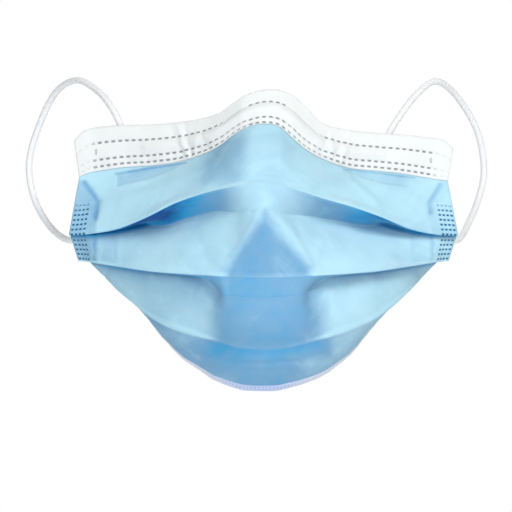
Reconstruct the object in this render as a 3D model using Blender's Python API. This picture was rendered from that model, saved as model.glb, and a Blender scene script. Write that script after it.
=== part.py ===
"""A three-ply face mask in its worn form, front towards -Y, with the nose bridge at the origin.

Run with: blender --background --python part.py
Each ply is a sheet that is folded column by column: the tables give where the edges and pleats
run, as shares of the named sizes, and a Solidify modifier gives the sheet its wall.
"""

import math

import bpy
from mathutils import Vector

UP = Vector((0.0, 0.0, 1.0))

# Driving sizes of the worn mask, in metres
HALF_WIDTH = 0.0778       # centre to the widest point of a side, at the first pleat
DROP = 0.112              # nose bridge down to the bottom hem at the centre
DEPTH = 0.040             # first pleat's lip at the centre back to the side edges

# Cloth
PLY_WALL = 0.001
PLY_GAP = 0.0003
LAYER_STEP = PLY_WALL + PLY_GAP
LINER_SLACK = 0.0014      # the inner ply hangs this much looser behind the panels
FOLD_WIDTH = 0.0021       # between the two layers that a closed pleat presses together
FOLD_CHAMFER = 0.29       # share of a fold's width that is cut off each of its two corners
SLANT_LIMIT = 1.7
WRAP_TILT = 0.8           # radians; steepest way the inner ply climbs over an inner fold

# White band and nose wire
UNDERLAP = 0.0028         # how far the outer ply runs up under the band
WIRE_BELOW_TOP = 0.0045
WIRE_WIDTH = 0.0040
WIRE_WALL = 0.0007
WIRE_REACH = 0.64         # share of the half width

# Pleats
FIRST_STRIP = 0.0100      # cloth between the two folds of the first pleat
SECOND_STRIP = 0.0070
HEM_FLAP = 0.0018         # front leaf of the bottom hem

# Ear loops
LOOP_DIAMETER = 0.0027
LOOP_POINT_SPACING = 0.0030

# Turn of the cloth's outward direction between the centre and the cheeks, in degrees
CHEEK_TURN = 33.0
CHEEK_START = 0.36        # share of the half width where that turn is complete

# Height of each edge and crease above the nose bridge, as shares of DROP.
# station is the share of the half width; L and R are the wearer's right and left as seen from the front.
HEIGHT_COLUMNS = ("station", "top_L", "top_R", "band_L", "band_R", "pleat1_L", "pleat1_R",
                  "pleat2", "pleat3", "hem")
HEIGHTS = (
    (0.00, 0.063, 0.063, -0.059, -0.059, -0.261, -0.261, -0.591, -0.839, -0.999),
    (0.08, 0.048, 0.062, -0.069, -0.068, -0.264, -0.268, -0.590, -0.838, -0.996),
    (0.15, 0.020, 0.043, -0.093, -0.107, -0.273, -0.282, -0.587, -0.832, -0.987),
    (0.22, -0.014, 0.002, -0.129, -0.145, -0.283, -0.297, -0.585, -0.821, -0.973),
    (0.30, -0.032, -0.050, -0.157, -0.175, -0.296, -0.314, -0.581, -0.809, -0.948),
    (0.45, -0.047, -0.075, -0.187, -0.209, -0.330, -0.342, -0.576, -0.779, -0.880),
    (0.60, -0.054, -0.084, -0.200, -0.218, -0.379, -0.377, -0.569, -0.743, -0.777),
    (0.75, -0.055, -0.090, -0.205, -0.228, -0.419, -0.419, -0.557, -0.672, -0.665),
    (0.90, -0.063, -0.100, -0.218, -0.243, -0.440, -0.443, -0.544, -0.585, -0.589),
    (0.96, -0.079, -0.110, -0.227, -0.249, -0.444, -0.445, -0.539, -0.554, -0.563),
    (1.00, -0.109, -0.136, -0.238, -0.252, -0.445, -0.447, -0.537, -0.536, -0.545),
)

# Depth behind the nose bridge, as shares of DEPTH
DEPTH_COLUMNS = ("station", "top", "band", "pleat1", "pleat2", "pleat3", "hem")
DEPTHS = (
    (0.00, 0.01, -0.11, -0.45, -0.35, -0.10, 0.28),
    (0.08, 0.02, -0.09, -0.43, -0.34, -0.09, 0.28),
    (0.15, 0.06, -0.05, -0.38, -0.32, -0.07, 0.31),
    (0.22, 0.11, 0.01, -0.32, -0.28, -0.03, 0.34),
    (0.30, 0.18, 0.09, -0.23, -0.22, 0.03, 0.40),
    (0.45, 0.29, 0.23, -0.05, -0.09, 0.16, 0.55),
    (0.60, 0.38, 0.34, 0.13, 0.08, 0.34, 0.75),
    (0.75, 0.45, 0.43, 0.32, 0.29, 0.55, 0.98),
    (0.90, 0.52, 0.52, 0.48, 0.50, 0.78, 1.18),
    (0.96, 0.535, 0.54, 0.525, 0.63, 0.86, 1.25),
    (1.00, 0.55, 0.55, 0.55, 0.68, 0.93, 1.30),
)

# Sideways reach of the rows that don't run straight out, and the turn of each pleat's strip,
# as shares of HALF_WIDTH and of a half turn: 0 hangs down, 0.5 points into the face, 1 is folded up
SPREAD_COLUMNS = ("station", "pleat3", "hem", "strip1_turn", "strip2_turn")
SPREADS = (
    (0.00, 0.000, 0.000, -0.03, 0.04),
    (0.08, 0.074, 0.071, 0.03, 0.04),
    (0.15, 0.139, 0.135, 0.14, 0.07),
    (0.22, 0.203, 0.200, 0.23, 0.14),
    (0.30, 0.276, 0.276, 0.31, 0.28),
    (0.45, 0.424, 0.418, 0.37, 0.51),
    (0.60, 0.559, 0.559, 0.41, 0.61),
    (0.75, 0.688, 0.668, 0.51, 0.75),
    (0.90, 0.797, 0.739, 0.80, 0.91),
    (0.96, 0.835, 0.758, 0.93, 0.97),
    (1.00, 0.855, 0.771, 1.00, 1.00),
)

# Straight rows end at these shares of HALF_WIDTH
ROW_REACH = {"top": 0.970, "band": 0.947, "pleat1": 1.000, "pleat2": 0.955}

# Forward bulge of each panel halfway between its creases, as shares of DEPTH
BULGE = {"panel1": 0.035, "panel2": 0.030, "panel3": 0.045, "chin": 0.035}

# Columns of the meshes, as stations of one half
STATIONS = (0.0, 0.04, 0.08, 0.12, 0.16, 0.20, 0.25, 0.30, 0.37, 0.45, 0.53,
            0.61, 0.69, 0.77, 0.85, 0.93, 1.0)

# Routes of the ear loops through points chosen by eye, in metres
LOOP_LEFT_ROUTE = (
    (-0.0540, 0.0209, -0.0140),
    (-0.0572, 0.0229, -0.0060),
    (-0.0612, 0.0275, 0.0015),
    (-0.0665, 0.0345, 0.0078),
    (-0.0755, 0.0460, 0.0130),
    (-0.0850, 0.0580, 0.0085),
    (-0.0925, 0.0660, -0.0055),
    (-0.0965, 0.0695, -0.0200),
    (-0.0945, 0.0670, -0.0340),
    (-0.0880, 0.0590, -0.0455),
    (-0.0805, 0.0485, -0.0515),
    (-0.0740, 0.0410, -0.0515),
    (-0.0690, 0.0355, -0.0500),
    (-0.0655, 0.0308, -0.0494),
)
LOOP_RIGHT_ROUTE = (
    (0.0470, 0.0190, -0.0170),
    (0.0502, 0.0214, -0.0095),
    (0.0548, 0.0268, -0.0020),
    (0.0620, 0.0350, 0.0070),
    (0.0700, 0.0450, 0.0125),
    (0.0790, 0.0570, 0.0070),
    (0.0880, 0.0660, -0.0070),
    (0.0910, 0.0695, -0.0230),
    (0.0885, 0.0670, -0.0350),
    (0.0840, 0.0590, -0.0450),
    (0.0795, 0.0485, -0.0515),
    (0.0740, 0.0410, -0.0515),
    (0.0690, 0.0355, -0.0500),
    (0.0655, 0.0308, -0.0494),
)


def clear_scene():
    for thing in list(bpy.data.objects):
        bpy.data.objects.remove(thing, do_unlink=True)


def cubic(knots, place):
    """Read a smooth curve through (place, value) knots, without overshoot past flat stretches."""
    index = 0
    while index < len(knots) - 2 and place > knots[index + 1][0]:
        index += 1
    slopes = []
    for knot in (index, index + 1):
        before = max(knot - 1, 0)
        after = min(knot + 1, len(knots) - 1)
        run = knots[after][0] - knots[before][0]
        slopes.append((knots[after][1] - knots[before][1]) / run)
    start, end = knots[index], knots[index + 1]
    span = end[0] - start[0]
    share = (place - start[0]) / span
    squared = share * share
    cubed = squared * share
    return (
        (2 * cubed - 3 * squared + 1) * start[1]
        + (cubed - 2 * squared + share) * span * slopes[0]
        + (3 * squared - 2 * cubed) * end[1]
        + (cubed - squared) * span * slopes[1]
    )


def knots_of(table, columns, left, right, odd=False):
    """Signed knots from -1 to 1 of one table column, or of a left and a right one."""
    sign = -1.0 if odd else 1.0
    left_half = [(-row[0], sign * row[columns.index(left)]) for row in reversed(table[1:])]
    right_half = [(row[0], row[columns.index(right)]) for row in table]
    return left_half + right_half


HEIGHT_KNOTS = {
    "top": knots_of(HEIGHTS, HEIGHT_COLUMNS, "top_L", "top_R"),
    "band": knots_of(HEIGHTS, HEIGHT_COLUMNS, "band_L", "band_R"),
    "pleat1": knots_of(HEIGHTS, HEIGHT_COLUMNS, "pleat1_L", "pleat1_R"),
    "pleat2": knots_of(HEIGHTS, HEIGHT_COLUMNS, "pleat2", "pleat2"),
    "pleat3": knots_of(HEIGHTS, HEIGHT_COLUMNS, "pleat3", "pleat3"),
    "hem": knots_of(HEIGHTS, HEIGHT_COLUMNS, "hem", "hem"),
}
DEPTH_KNOTS = {name: knots_of(DEPTHS, DEPTH_COLUMNS, name, name) for name in DEPTH_COLUMNS[1:]}
REACH_KNOTS = {name: knots_of(SPREADS, SPREAD_COLUMNS, name, name, odd=True) for name in ("pleat3", "hem")}
TURN_KNOTS = {name: knots_of(SPREADS, SPREAD_COLUMNS, name, name) for name in ("strip1_turn", "strip2_turn")}


def row_point(name, station):
    """The place of a named edge or crease on one column of the mask."""
    if name in ROW_REACH:
        reach = ROW_REACH[name] * station
    else:
        reach = cubic(REACH_KNOTS[name], station)
    return Vector((
        HALF_WIDTH * reach,
        DEPTH * cubic(DEPTH_KNOTS[name], station),
        DROP * cubic(HEIGHT_KNOTS[name], station),
    ))


def along_row(name, station):
    """Direction of a named row at a station."""
    step = 0.02
    return row_point(name, min(station + step, 1.0)) - row_point(name, max(station - step, -1.0))


def outward_at(station):
    """Level direction away from the face: straight ahead at the centre, turned out over the cheeks."""
    share = min(abs(station) / CHEEK_START, 1.0)
    turn = math.radians(CHEEK_TURN) * share * share * (3 - 2 * share)
    return Vector((math.copysign(math.sin(turn), station), -math.cos(turn), 0.0))


def heading(angle, outward):
    """Direction in a column's section: 0 is down, a quarter turn is into the face, a half turn is up."""
    return -outward * math.sin(angle) - UP * math.cos(angle)


def angle_of(step, outward):
    return math.atan2(-step.dot(outward), -step.z)


def fold(corner, angle_in, angle_out, width, outward):
    """Four points that turn the cloth round a fold of a given width, and the fold's second corner."""
    middle = 0.5 * (angle_in + angle_out)
    cut = FOLD_CHAMFER * width
    across = heading(middle, outward)
    second = corner + across * width
    points = [
        corner - heading(angle_in, outward) * cut,
        corner + across * cut,
        second - across * cut,
        second + heading(angle_out, outward) * cut,
    ]
    return points, second


def panel(start, end, bulge, count, outward):
    """Points inside a panel between two creases, bulged away from the face by a share of DEPTH."""
    lean = angle_of(end - start, outward)
    forward = heading(lean - math.pi / 2, outward)
    points = []
    for index in range(1, count + 1):
        share = index / (count + 1)
        points.append(start.lerp(end, share) + forward * (4 * DEPTH * bulge * share * (1 - share)))
    return points


class Column:
    """The section of the mask at one station: corners of its folds, shared by both plies."""

    def __init__(self, station):
        self.station = station
        self.outward = outward_at(station)
        self.rows = {name: row_point(name, station) for name in DEPTH_COLUMNS[1:]}
        self.turn1 = math.pi * cubic(TURN_KNOTS["strip1_turn"], station)
        self.turn2 = math.pi * cubic(TURN_KNOTS["strip2_turn"], station)
        self.first = self.pleat("band", "pleat1", "pleat2", self.turn1, FIRST_STRIP)
        self.second = self.pleat("pleat1", "pleat2", "pleat3", self.turn2, SECOND_STRIP)
        self.end_angle = angle_of(self.rows["hem"] - self.rows["pleat3"], self.outward)

    def pleat(self, above, lip, below, turn, strip):
        """A pleat's lip fold, its strip and its inner fold."""
        came_from = self.rows[above] if above == "band" else self.first["exit"]
        angle_in = angle_of(self.rows[lip] - came_from, self.outward)
        lip_points, lip_second = fold(self.rows[lip], angle_in, turn, FOLD_WIDTH, self.outward)
        inner = lip_second + heading(turn, self.outward) * strip
        angle_out = angle_of(self.rows[below] - inner, self.outward)
        inner_points, inner_second = fold(inner, turn, angle_out, FOLD_WIDTH, self.outward)
        return {
            "points": lip_points + inner_points,
            "inner": inner,
            "exit": inner_second,
            "across": 0.5 * (turn + angle_out),
            "angle_out": angle_out,
        }

    def outer_path(self):
        """The blue ply from under the band down to the hem."""
        out = self.outward
        free = 1 - self.station ** 4
        bulge = {name: share * free for name, share in BULGE.items()}
        up_band = (self.rows["top"] - self.rows["band"]).normalized()
        path = [self.rows["band"] + up_band * UNDERLAP, self.rows["band"]]
        path += panel(self.rows["band"], self.rows["pleat1"], bulge["panel1"], 4, out)
        path += self.first["points"]
        path += panel(self.first["exit"], self.rows["pleat2"], bulge["panel2"], 3, out)
        path += self.second["points"]
        path += panel(self.second["exit"], self.rows["pleat3"], bulge["panel3"], 3, out)
        path.append(self.rows["pleat3"])
        end = self.rows["hem"] - heading(self.end_angle, out) * (LAYER_STEP + PLY_WALL)
        path += panel(self.rows["pleat3"], end, bulge["chin"], 2, out)
        path.append(end)
        return path

    def slant(self, row, angle):
        """How much longer than the true distance an offset in the section is, where a row runs aslant."""
        normal = along_row(row, self.station).cross(heading(angle, self.outward)).normalized()
        return min(1 / abs(normal.dot(heading(angle + math.pi / 2, self.outward))), SLANT_LIMIT)

    def behind(self, point, angle, distance, row):
        """A point moved to the face's side of cloth that runs at an angle."""
        return point + heading(angle + math.pi / 2, self.outward) * (distance * self.slant(row, angle))

    def wrap(self, pleat, row):
        """Two points of the inner ply where it passes behind a pleat's inner fold."""
        tilt = min(pleat["across"], WRAP_TILT)
        top = self.behind(pleat["inner"].lerp(pleat["exit"], 0.5), tilt, 2.2 * LAYER_STEP, row)
        turn = pleat["angle_out"] + 0.35 * (tilt - pleat["angle_out"])
        corner = self.behind(pleat["exit"], turn, 2.3 * LAYER_STEP, row)
        return [top, corner]

    def inner_path(self):
        """The white ply: band's lower edge, over the top, down behind the outer ply, round the hem."""
        top, band, out = self.rows["top"], self.rows["band"], self.outward
        down_band = angle_of(band - top, out)
        crest = top - UP * (PLY_WALL / 2)
        flap_top = self.behind(crest, down_band, -LAYER_STEP, "top")
        flap_end = self.behind(band, down_band, -LAYER_STEP, "band")
        back_top = self.behind(crest, down_band, LAYER_STEP, "top")
        back_band = self.behind(band, down_band, LAYER_STEP, "band")
        path = [flap_end, flap_end.lerp(flap_top, 0.33), flap_end.lerp(flap_top, 0.67)]
        path += fold(flap_top, down_band + math.pi, down_band, (back_top - flap_top).length, out)[0]
        path += [back_top.lerp(back_band, 0.5), back_band]
        slack = LAYER_STEP + LINER_SLACK

        lean = angle_of(self.rows["pleat1"] - band, out)
        reach = band.z - min(self.first["inner"].z, 0.0)
        share = min(0.5 * reach / (band.z - self.rows["pleat1"].z), 0.8)
        path.append(self.behind(band.lerp(self.rows["pleat1"], share), lean, slack, "pleat1"))
        path += self.wrap(self.first, "pleat1")

        lean = angle_of(self.rows["pleat2"] - self.first["exit"], out)
        second_wrap = self.wrap(self.second, "pleat2")
        height = self.first["exit"].z - self.rows["pleat2"].z
        reach = self.first["exit"].z - second_wrap[0].z
        for part in (0.3, 0.6):
            share = min(part * reach / height, 0.85)
            path.append(self.behind(self.first["exit"].lerp(self.rows["pleat2"], share), lean, slack, "pleat2"))
        path += second_wrap

        lean = angle_of(self.rows["pleat3"] - self.second["exit"], out)
        for share in (0.33, 0.67):
            path.append(self.behind(self.second["exit"].lerp(self.rows["pleat3"], share), lean, slack, "pleat3"))
        ridge = 0.5 * (lean + self.end_angle)
        path.append(self.behind(self.rows["pleat3"], ridge, slack, "pleat3"))
        chin = self.rows["pleat3"].lerp(self.rows["hem"], 0.5)
        path.append(self.behind(chin, self.end_angle, slack, "hem"))

        edge = self.rows["hem"] - heading(self.end_angle, out) * (PLY_WALL / 2)
        hem_back = self.behind(edge, self.end_angle, LAYER_STEP, "hem")
        width = 2 * (hem_back - edge).length
        hem_points, hem_front = fold(hem_back, self.end_angle, self.end_angle - math.pi, width, out)
        path += hem_points
        path.append(hem_front - heading(self.end_angle, out) * HEM_FLAP)
        return path

    def wire_path(self):
        down = (self.rows["band"] - self.rows["top"]).normalized()
        upper = self.rows["top"] + down * WIRE_BELOW_TOP
        return [upper, upper + down * WIRE_WIDTH]


def all_stations(limit=1.0):
    half = [station for station in STATIONS if station < limit] + [limit]
    return [-station for station in reversed(half[1:])] + half


def material(name, colour, roughness, metallic=0.0):
    made = bpy.data.materials.new(name)
    made.use_nodes = True
    shader = made.node_tree.nodes["Principled BSDF"]
    shader.inputs["Base Color"].default_value = (*colour, 1.0)
    shader.inputs["Roughness"].default_value = roughness
    shader.inputs["Metallic"].default_value = metallic
    made.diffuse_color = (*colour, 1.0)
    return made


def sheet_object(name, columns, wall, look):
    """A sheet from one path for each column, given its wall by Solidify."""
    rows = len(columns[0])
    vertices = [point for path in columns for point in path]
    faces = []
    for column in range(len(columns) - 1):
        for row in range(rows - 1):
            corner = column * rows + row
            faces.append((corner, corner + 1, corner + rows + 1, corner + rows))
    mesh = bpy.data.meshes.new(name)
    mesh.from_pydata([tuple(vertex) for vertex in vertices], [], faces)
    mesh.update()
    made = bpy.data.objects.new(name, mesh)
    bpy.context.collection.objects.link(made)
    mesh.materials.append(look)
    solidify = made.modifiers.new("wall", "SOLIDIFY")
    solidify.thickness = wall
    solidify.offset = 0.0
    solidify.use_quality_normals = True
    return made


def smooth_route(route, spacing):
    """Points at an even spacing along a centripetal curve through the route's own points."""
    places = [Vector(point) for point in route]
    places = [2 * places[0] - places[1]] + places + [2 * places[-1] - places[-2]]
    fine = []
    steps = 24
    for index in range(1, len(places) - 2):
        before, start, end, after = places[index - 1:index + 3]
        for step in range(steps):
            share = step / steps
            fine.append(0.5 * (
                2 * start
                + (end - before) * share
                + (2 * before - 5 * start + 4 * end - after) * share ** 2
                + (3 * start - before - 3 * end + after) * share ** 3
            ))
    fine.append(places[-2])
    lengths = [0.0]
    for first, second in zip(fine, fine[1:]):
        lengths.append(lengths[-1] + (second - first).length)
    count = max(2, round(lengths[-1] / spacing))
    points = []
    index = 0
    for step in range(count + 1):
        target = lengths[-1] * step / count
        while index < len(fine) - 2 and lengths[index + 1] < target:
            index += 1
        share = (target - lengths[index]) / (lengths[index + 1] - lengths[index])
        points.append(fine[index].lerp(fine[index + 1], share))
    return points


def cord_object(name, route, diameter, look):
    points = smooth_route(route, LOOP_POINT_SPACING)
    curve = bpy.data.curves.new(name, "CURVE")
    curve.dimensions = "3D"
    curve.bevel_depth = diameter / 2
    curve.bevel_resolution = 2
    curve.use_fill_caps = True
    spline = curve.splines.new("POLY")
    spline.points.add(len(points) - 1)
    for target, point in zip(spline.points, points):
        target.co = (*point, 1.0)
    curve.materials.append(look)
    made = bpy.data.objects.new(name, curve)
    bpy.context.collection.objects.link(made)
    return made


def outer_ply():
    look = material("blue spunbond", (0.42, 0.73, 0.87), 0.75)
    columns = [Column(station).outer_path() for station in all_stations()]
    return sheet_object("outer_ply", columns, PLY_WALL, look)


def inner_ply():
    look = material("white spunbond", (0.90, 0.91, 0.93), 0.75)
    columns = [Column(station).inner_path() for station in all_stations()]
    return sheet_object("inner_ply", columns, PLY_WALL, look)


def nose_wire():
    look = material("coated wire", (0.88, 0.88, 0.88), 0.45)
    columns = [Column(station).wire_path() for station in all_stations(WIRE_REACH)]
    return sheet_object("nose_wire", columns, WIRE_WALL, look)


def ear_loops():
    look = material("white elastic", (0.93, 0.93, 0.93), 0.8)
    cord_object("ear_loop_left", LOOP_LEFT_ROUTE, LOOP_DIAMETER, look)
    cord_object("ear_loop_right", LOOP_RIGHT_ROUTE, LOOP_DIAMETER, look)


def main():
    clear_scene()
    outer_ply()
    inner_ply()
    nose_wire()
    ear_loops()


main()
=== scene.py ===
"""Dresses the three-ply face mask: thin pleated cloth, white band, lining, nose wire and elastic loops."""

import math

import bpy
import numpy as np
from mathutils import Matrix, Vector


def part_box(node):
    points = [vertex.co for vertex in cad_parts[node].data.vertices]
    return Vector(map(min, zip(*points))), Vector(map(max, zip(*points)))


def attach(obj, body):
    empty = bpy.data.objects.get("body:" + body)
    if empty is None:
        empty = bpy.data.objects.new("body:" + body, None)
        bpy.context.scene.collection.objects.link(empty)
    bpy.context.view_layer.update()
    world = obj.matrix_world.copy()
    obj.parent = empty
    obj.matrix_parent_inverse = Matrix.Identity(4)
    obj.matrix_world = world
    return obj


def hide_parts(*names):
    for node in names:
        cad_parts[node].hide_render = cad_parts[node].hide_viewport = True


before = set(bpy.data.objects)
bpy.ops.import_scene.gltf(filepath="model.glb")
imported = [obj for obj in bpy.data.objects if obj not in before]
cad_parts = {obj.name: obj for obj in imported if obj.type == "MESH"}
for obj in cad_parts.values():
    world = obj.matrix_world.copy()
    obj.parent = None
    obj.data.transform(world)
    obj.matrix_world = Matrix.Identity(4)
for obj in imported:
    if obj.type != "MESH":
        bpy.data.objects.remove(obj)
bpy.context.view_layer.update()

bl_info = {
    "name": "Three-ply face mask",
    "version": (1, 0, 0),
    "blender": (4, 5, 0),
    "location": "3D View > Sidebar > Face mask",
    "description": "Builds the cloth, band, lining, wire and ear loops of a pleated face mask",
    "category": "Add Mesh",
}

MM = 0.001

# Named sizes of the source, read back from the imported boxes
HEM_DEPTH_SHARE = 1.15
OUTER_LOW, OUTER_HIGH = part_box("outer_ply")
INNER_LOW, INNER_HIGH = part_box("inner_ply")
HALF_WIDTH = (OUTER_HIGH.x - OUTER_LOW.x) / 2
DROP = -INNER_LOW.z
DEPTH = INNER_HIGH.y / HEM_DEPTH_SHARE

# Height of each edge and crease above the nose bridge, as shares of DROP
HEIGHT_COLUMNS = ("station", "top_L", "top_R", "band_L", "band_R", "pleat1_L", "pleat1_R",
                  "pleat2", "pleat3", "hem")
HEIGHTS = (
    (0.00, 0.063, 0.063, -0.059, -0.059, -0.261, -0.261, -0.591, -0.839, -0.999),
    (0.08, 0.048, 0.062, -0.069, -0.068, -0.264, -0.268, -0.590, -0.838, -0.996),
    (0.15, 0.020, 0.043, -0.093, -0.107, -0.273, -0.282, -0.587, -0.832, -0.987),
    (0.22, -0.014, 0.002, -0.129, -0.145, -0.283, -0.297, -0.585, -0.821, -0.973),
    (0.30, -0.032, -0.050, -0.157, -0.175, -0.296, -0.314, -0.581, -0.809, -0.948),
    (0.45, -0.047, -0.075, -0.187, -0.209, -0.330, -0.342, -0.576, -0.779, -0.880),
    (0.60, -0.054, -0.084, -0.200, -0.218, -0.379, -0.377, -0.569, -0.743, -0.777),
    (0.75, -0.055, -0.090, -0.205, -0.228, -0.419, -0.419, -0.557, -0.672, -0.665),
    (0.90, -0.063, -0.100, -0.218, -0.243, -0.440, -0.443, -0.544, -0.585, -0.589),
    (0.96, -0.079, -0.110, -0.227, -0.249, -0.444, -0.445, -0.539, -0.554, -0.563),
    (1.00, -0.109, -0.136, -0.238, -0.252, -0.445, -0.447, -0.537, -0.536, -0.545),
)

# Depth behind the nose bridge, as shares of DEPTH
DEPTH_COLUMNS = ("station", "top", "band", "pleat1", "pleat2", "pleat3", "hem")
DEPTHS = (
    (0.00, 0.01, -0.11, -0.45, -0.35, -0.10, 0.28),
    (0.08, 0.02, -0.09, -0.43, -0.34, -0.09, 0.28),
    (0.15, 0.06, -0.05, -0.38, -0.32, -0.07, 0.31),
    (0.22, 0.11, 0.01, -0.32, -0.28, -0.03, 0.34),
    (0.30, 0.18, 0.09, -0.23, -0.22, 0.03, 0.40),
    (0.45, 0.29, 0.23, -0.05, -0.09, 0.16, 0.55),
    (0.60, 0.38, 0.34, 0.13, 0.08, 0.34, 0.75),
    (0.75, 0.45, 0.43, 0.32, 0.29, 0.55, 0.96),
    (0.90, 0.52, 0.52, 0.48, 0.50, 0.77, 1.09),
    (0.96, 0.535, 0.54, 0.525, 0.63, 0.81, 1.06),
    (1.00, 0.55, 0.55, 0.55, 0.68, 0.82, 1.00),
)

# Sideways reach of the lower rows, and the turn of each pleat's strip as a share of a half turn
SPREAD_COLUMNS = ("station", "pleat3", "hem", "strip1_turn", "strip2_turn")
SPREADS = (
    (0.00, 0.000, 0.000, -0.03, 0.04),
    (0.08, 0.074, 0.071, 0.03, 0.04),
    (0.15, 0.139, 0.135, 0.14, 0.04),
    (0.22, 0.203, 0.200, 0.23, 0.07),
    (0.30, 0.276, 0.276, 0.31, 0.32),
    (0.45, 0.424, 0.418, 0.37, 0.60),
    (0.60, 0.559, 0.559, 0.45, 0.72),
    (0.75, 0.695, 0.675, 0.66, 0.85),
    (0.90, 0.825, 0.772, 0.92, 0.95),
    (0.96, 0.870, 0.815, 0.98, 0.98),
    (1.00, 0.895, 0.850, 1.00, 1.00),
)
ROW_REACH = {"top": 0.970, "band": 0.947, "pleat1": 1.000, "pleat2": 0.955}
BULGE = {"panel1": 0.035, "panel2": 0.030, "panel3": 0.045, "chin": 0.035}

# Turn of the cloth's outward direction between the centre and the cheeks
CHEEK_TURN = math.radians(33.0)
CHEEK_START = 0.36

# Cloth of the scene, thinner than the CAD walls
CLOTH_WALL = 0.32 * MM
PLY_STEP = 0.55 * MM
FOLD_WIDTH = 1.3 * MM
FOLD_ROUNDING = 0.46
SEAM_PRESS = 0.55
SEAM_STATIONS = (0.84, 0.96)
FIRST_STRIP = 10.0 * MM
SECOND_STRIP = 7.0 * MM
UNDERLAP = 2.8 * MM
LINING_BELOW_CREST = 0.8 * MM
HEM_BELOW_CLOTH = 0.4 * MM

# Inner folds are narrower where the pleats stand open: their least width and where they grow
OPEN_FOLD = 0.25
OPEN_FOLD_STATIONS = (0.16, 0.40)

# Rows of a column of the outer cloth, by stretch
ROWS = {"underlap": 5, "panel1": 46, "fold": 5, "strip1": 14, "panel2": 32, "strip2": 9,
        "panel3": 28, "chin": 27}
FLAP_ROWS = 6
OUTER_COLUMNS = 241
LINING_COLUMNS = 201
BAND_COLUMNS = 321
BAND_ROWS = 44
TURN_STEPS = 8

# Weld dots at the sides, in four columns, and half of each dot as a share of its pitch
DOT_COLUMNS = 4
DOT_HALF_ACROSS = 0.31
DOT_HALF_ALONG = 0.19
DOT_PITCH_ACROSS = 1.75 * MM
DOT_PITCH_ALONG = 1.95 * MM
DOT_INSET = 0.35 * MM
DOT_FADE = (13 * MM, 8 * MM)
DOTS_ABOVE_LIP = 1.0 * MM
LOWER_DOT_ROWS = 6

# Weld dashes of the band: their share of a pitch, and their rows as shares of the band's height
DASH_SHARE = 0.54
DASH_ROWS = (0.34, 0.74, 0.90)
BAND_HEIGHT = 16.0 * MM
END_TICK = 67.0 * MM
END_TICK_SHARE = 0.54
END_TICK_LENGTH = 2.2 * MM
END_TICK_STRENGTH = 0.55

# Small welds of the hem
HEM_DOT_PITCH = 1.5 * MM
HEM_DOT_HEIGHT = 0.45 * MM
HEM_DOT_ROWS = (1.1 * MM, 2.2 * MM)
HEM_DOT_HALF = 0.22

# Web of the cloth: distance of its pressed points, size of its fibres and patches, and depth of its relief
POINT_PITCH = 1.4 * MM
FIBRE_SIZE = 0.9 * MM
MOTTLE_SIZE = 12 * MM
WEB_RELIEF = 0.06 * MM
WELD_RELIEF = 0.25 * MM
BLUE_WEB_STRENGTH = 0.35
WHITE_WEB_STRENGTH = 0.3

# Roughness and sheen of a web, and the low shine of every material
WEB_FINISH = (0.82, 0.05)
SPECULAR = 0.25

# Band: half the gap between its leaves, height of the back leaf, and dip along each row of dashes
LEAF_GAP = 1.2 * PLY_STEP
BACK_LEAF = 0.35
WELD_DIP = 0.16 * MM
NO_DASHES = 2.0

# Nose wire inside the band
WIRE_REACH = 0.64
WIRE_SHARES = (0.43, 0.63)
WIRE_COLUMNS = 121

# Ear loops: the routes of the CAD cords, in metres
LOOP_RINGS = 320
LOOP_SIDES = 20
LOOP_RIBS = 5
LOOP_RIB_SHARE = 0.012
LOOP_LEFT_ROUTE = (
    (-0.0540, 0.0209, -0.0140),
    (-0.0572, 0.0229, -0.0060),
    (-0.0612, 0.0275, 0.0015),
    (-0.0665, 0.0345, 0.0078),
    (-0.0755, 0.0460, 0.0130),
    (-0.0850, 0.0580, 0.0085),
    (-0.0925, 0.0660, -0.0055),
    (-0.0965, 0.0695, -0.0200),
    (-0.0945, 0.0670, -0.0340),
    (-0.0880, 0.0590, -0.0455),
    (-0.0805, 0.0485, -0.0515),
    (-0.0740, 0.0410, -0.0515),
    (-0.0690, 0.0355, -0.0500),
    (-0.0655, 0.0308, -0.0494),
)
LOOP_RIGHT_ROUTE = (
    (0.0470, 0.0190, -0.0170),
    (0.0502, 0.0214, -0.0095),
    (0.0548, 0.0268, -0.0020),
    (0.0620, 0.0350, 0.0070),
    (0.0700, 0.0450, 0.0125),
    (0.0790, 0.0570, 0.0070),
    (0.0880, 0.0660, -0.0070),
    (0.0910, 0.0695, -0.0230),
    (0.0885, 0.0670, -0.0350),
    (0.0840, 0.0590, -0.0450),
    (0.0795, 0.0485, -0.0515),
    (0.0740, 0.0410, -0.0515),
    (0.0690, 0.0355, -0.0500),
    (0.0655, 0.0308, -0.0494),
)

# Where each loop's lower end is tacked to the lining
LOOP_TACKS = {
    "elastic_loop_left": (-0.0628, 0.0262, -0.0492),
    "elastic_loop_right": (0.0628, 0.0262, -0.0492),
}

# Camera: a long lens straight in front, framed as the photo is
CAMERA_DISTANCE = 1.50
FRAME_WIDTH = 0.2048
FRAME_CENTRE = (-0.003, -0.0584)
SENSOR = 36.0

# Floor: its height below the nose bridge, its radius and how much brighter it is seen
FLOOR_HEIGHT = -0.60
FLOOR_RADIUS = 3.6
FLOOR_SIDES = 96
FLOOR_GLOW = 0.55

# Room: its light, and the white that is seen
ROOM_COLOUR = (0.92, 0.96, 1.0, 1.0)
ROOM_STRENGTH = 0.33

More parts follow.
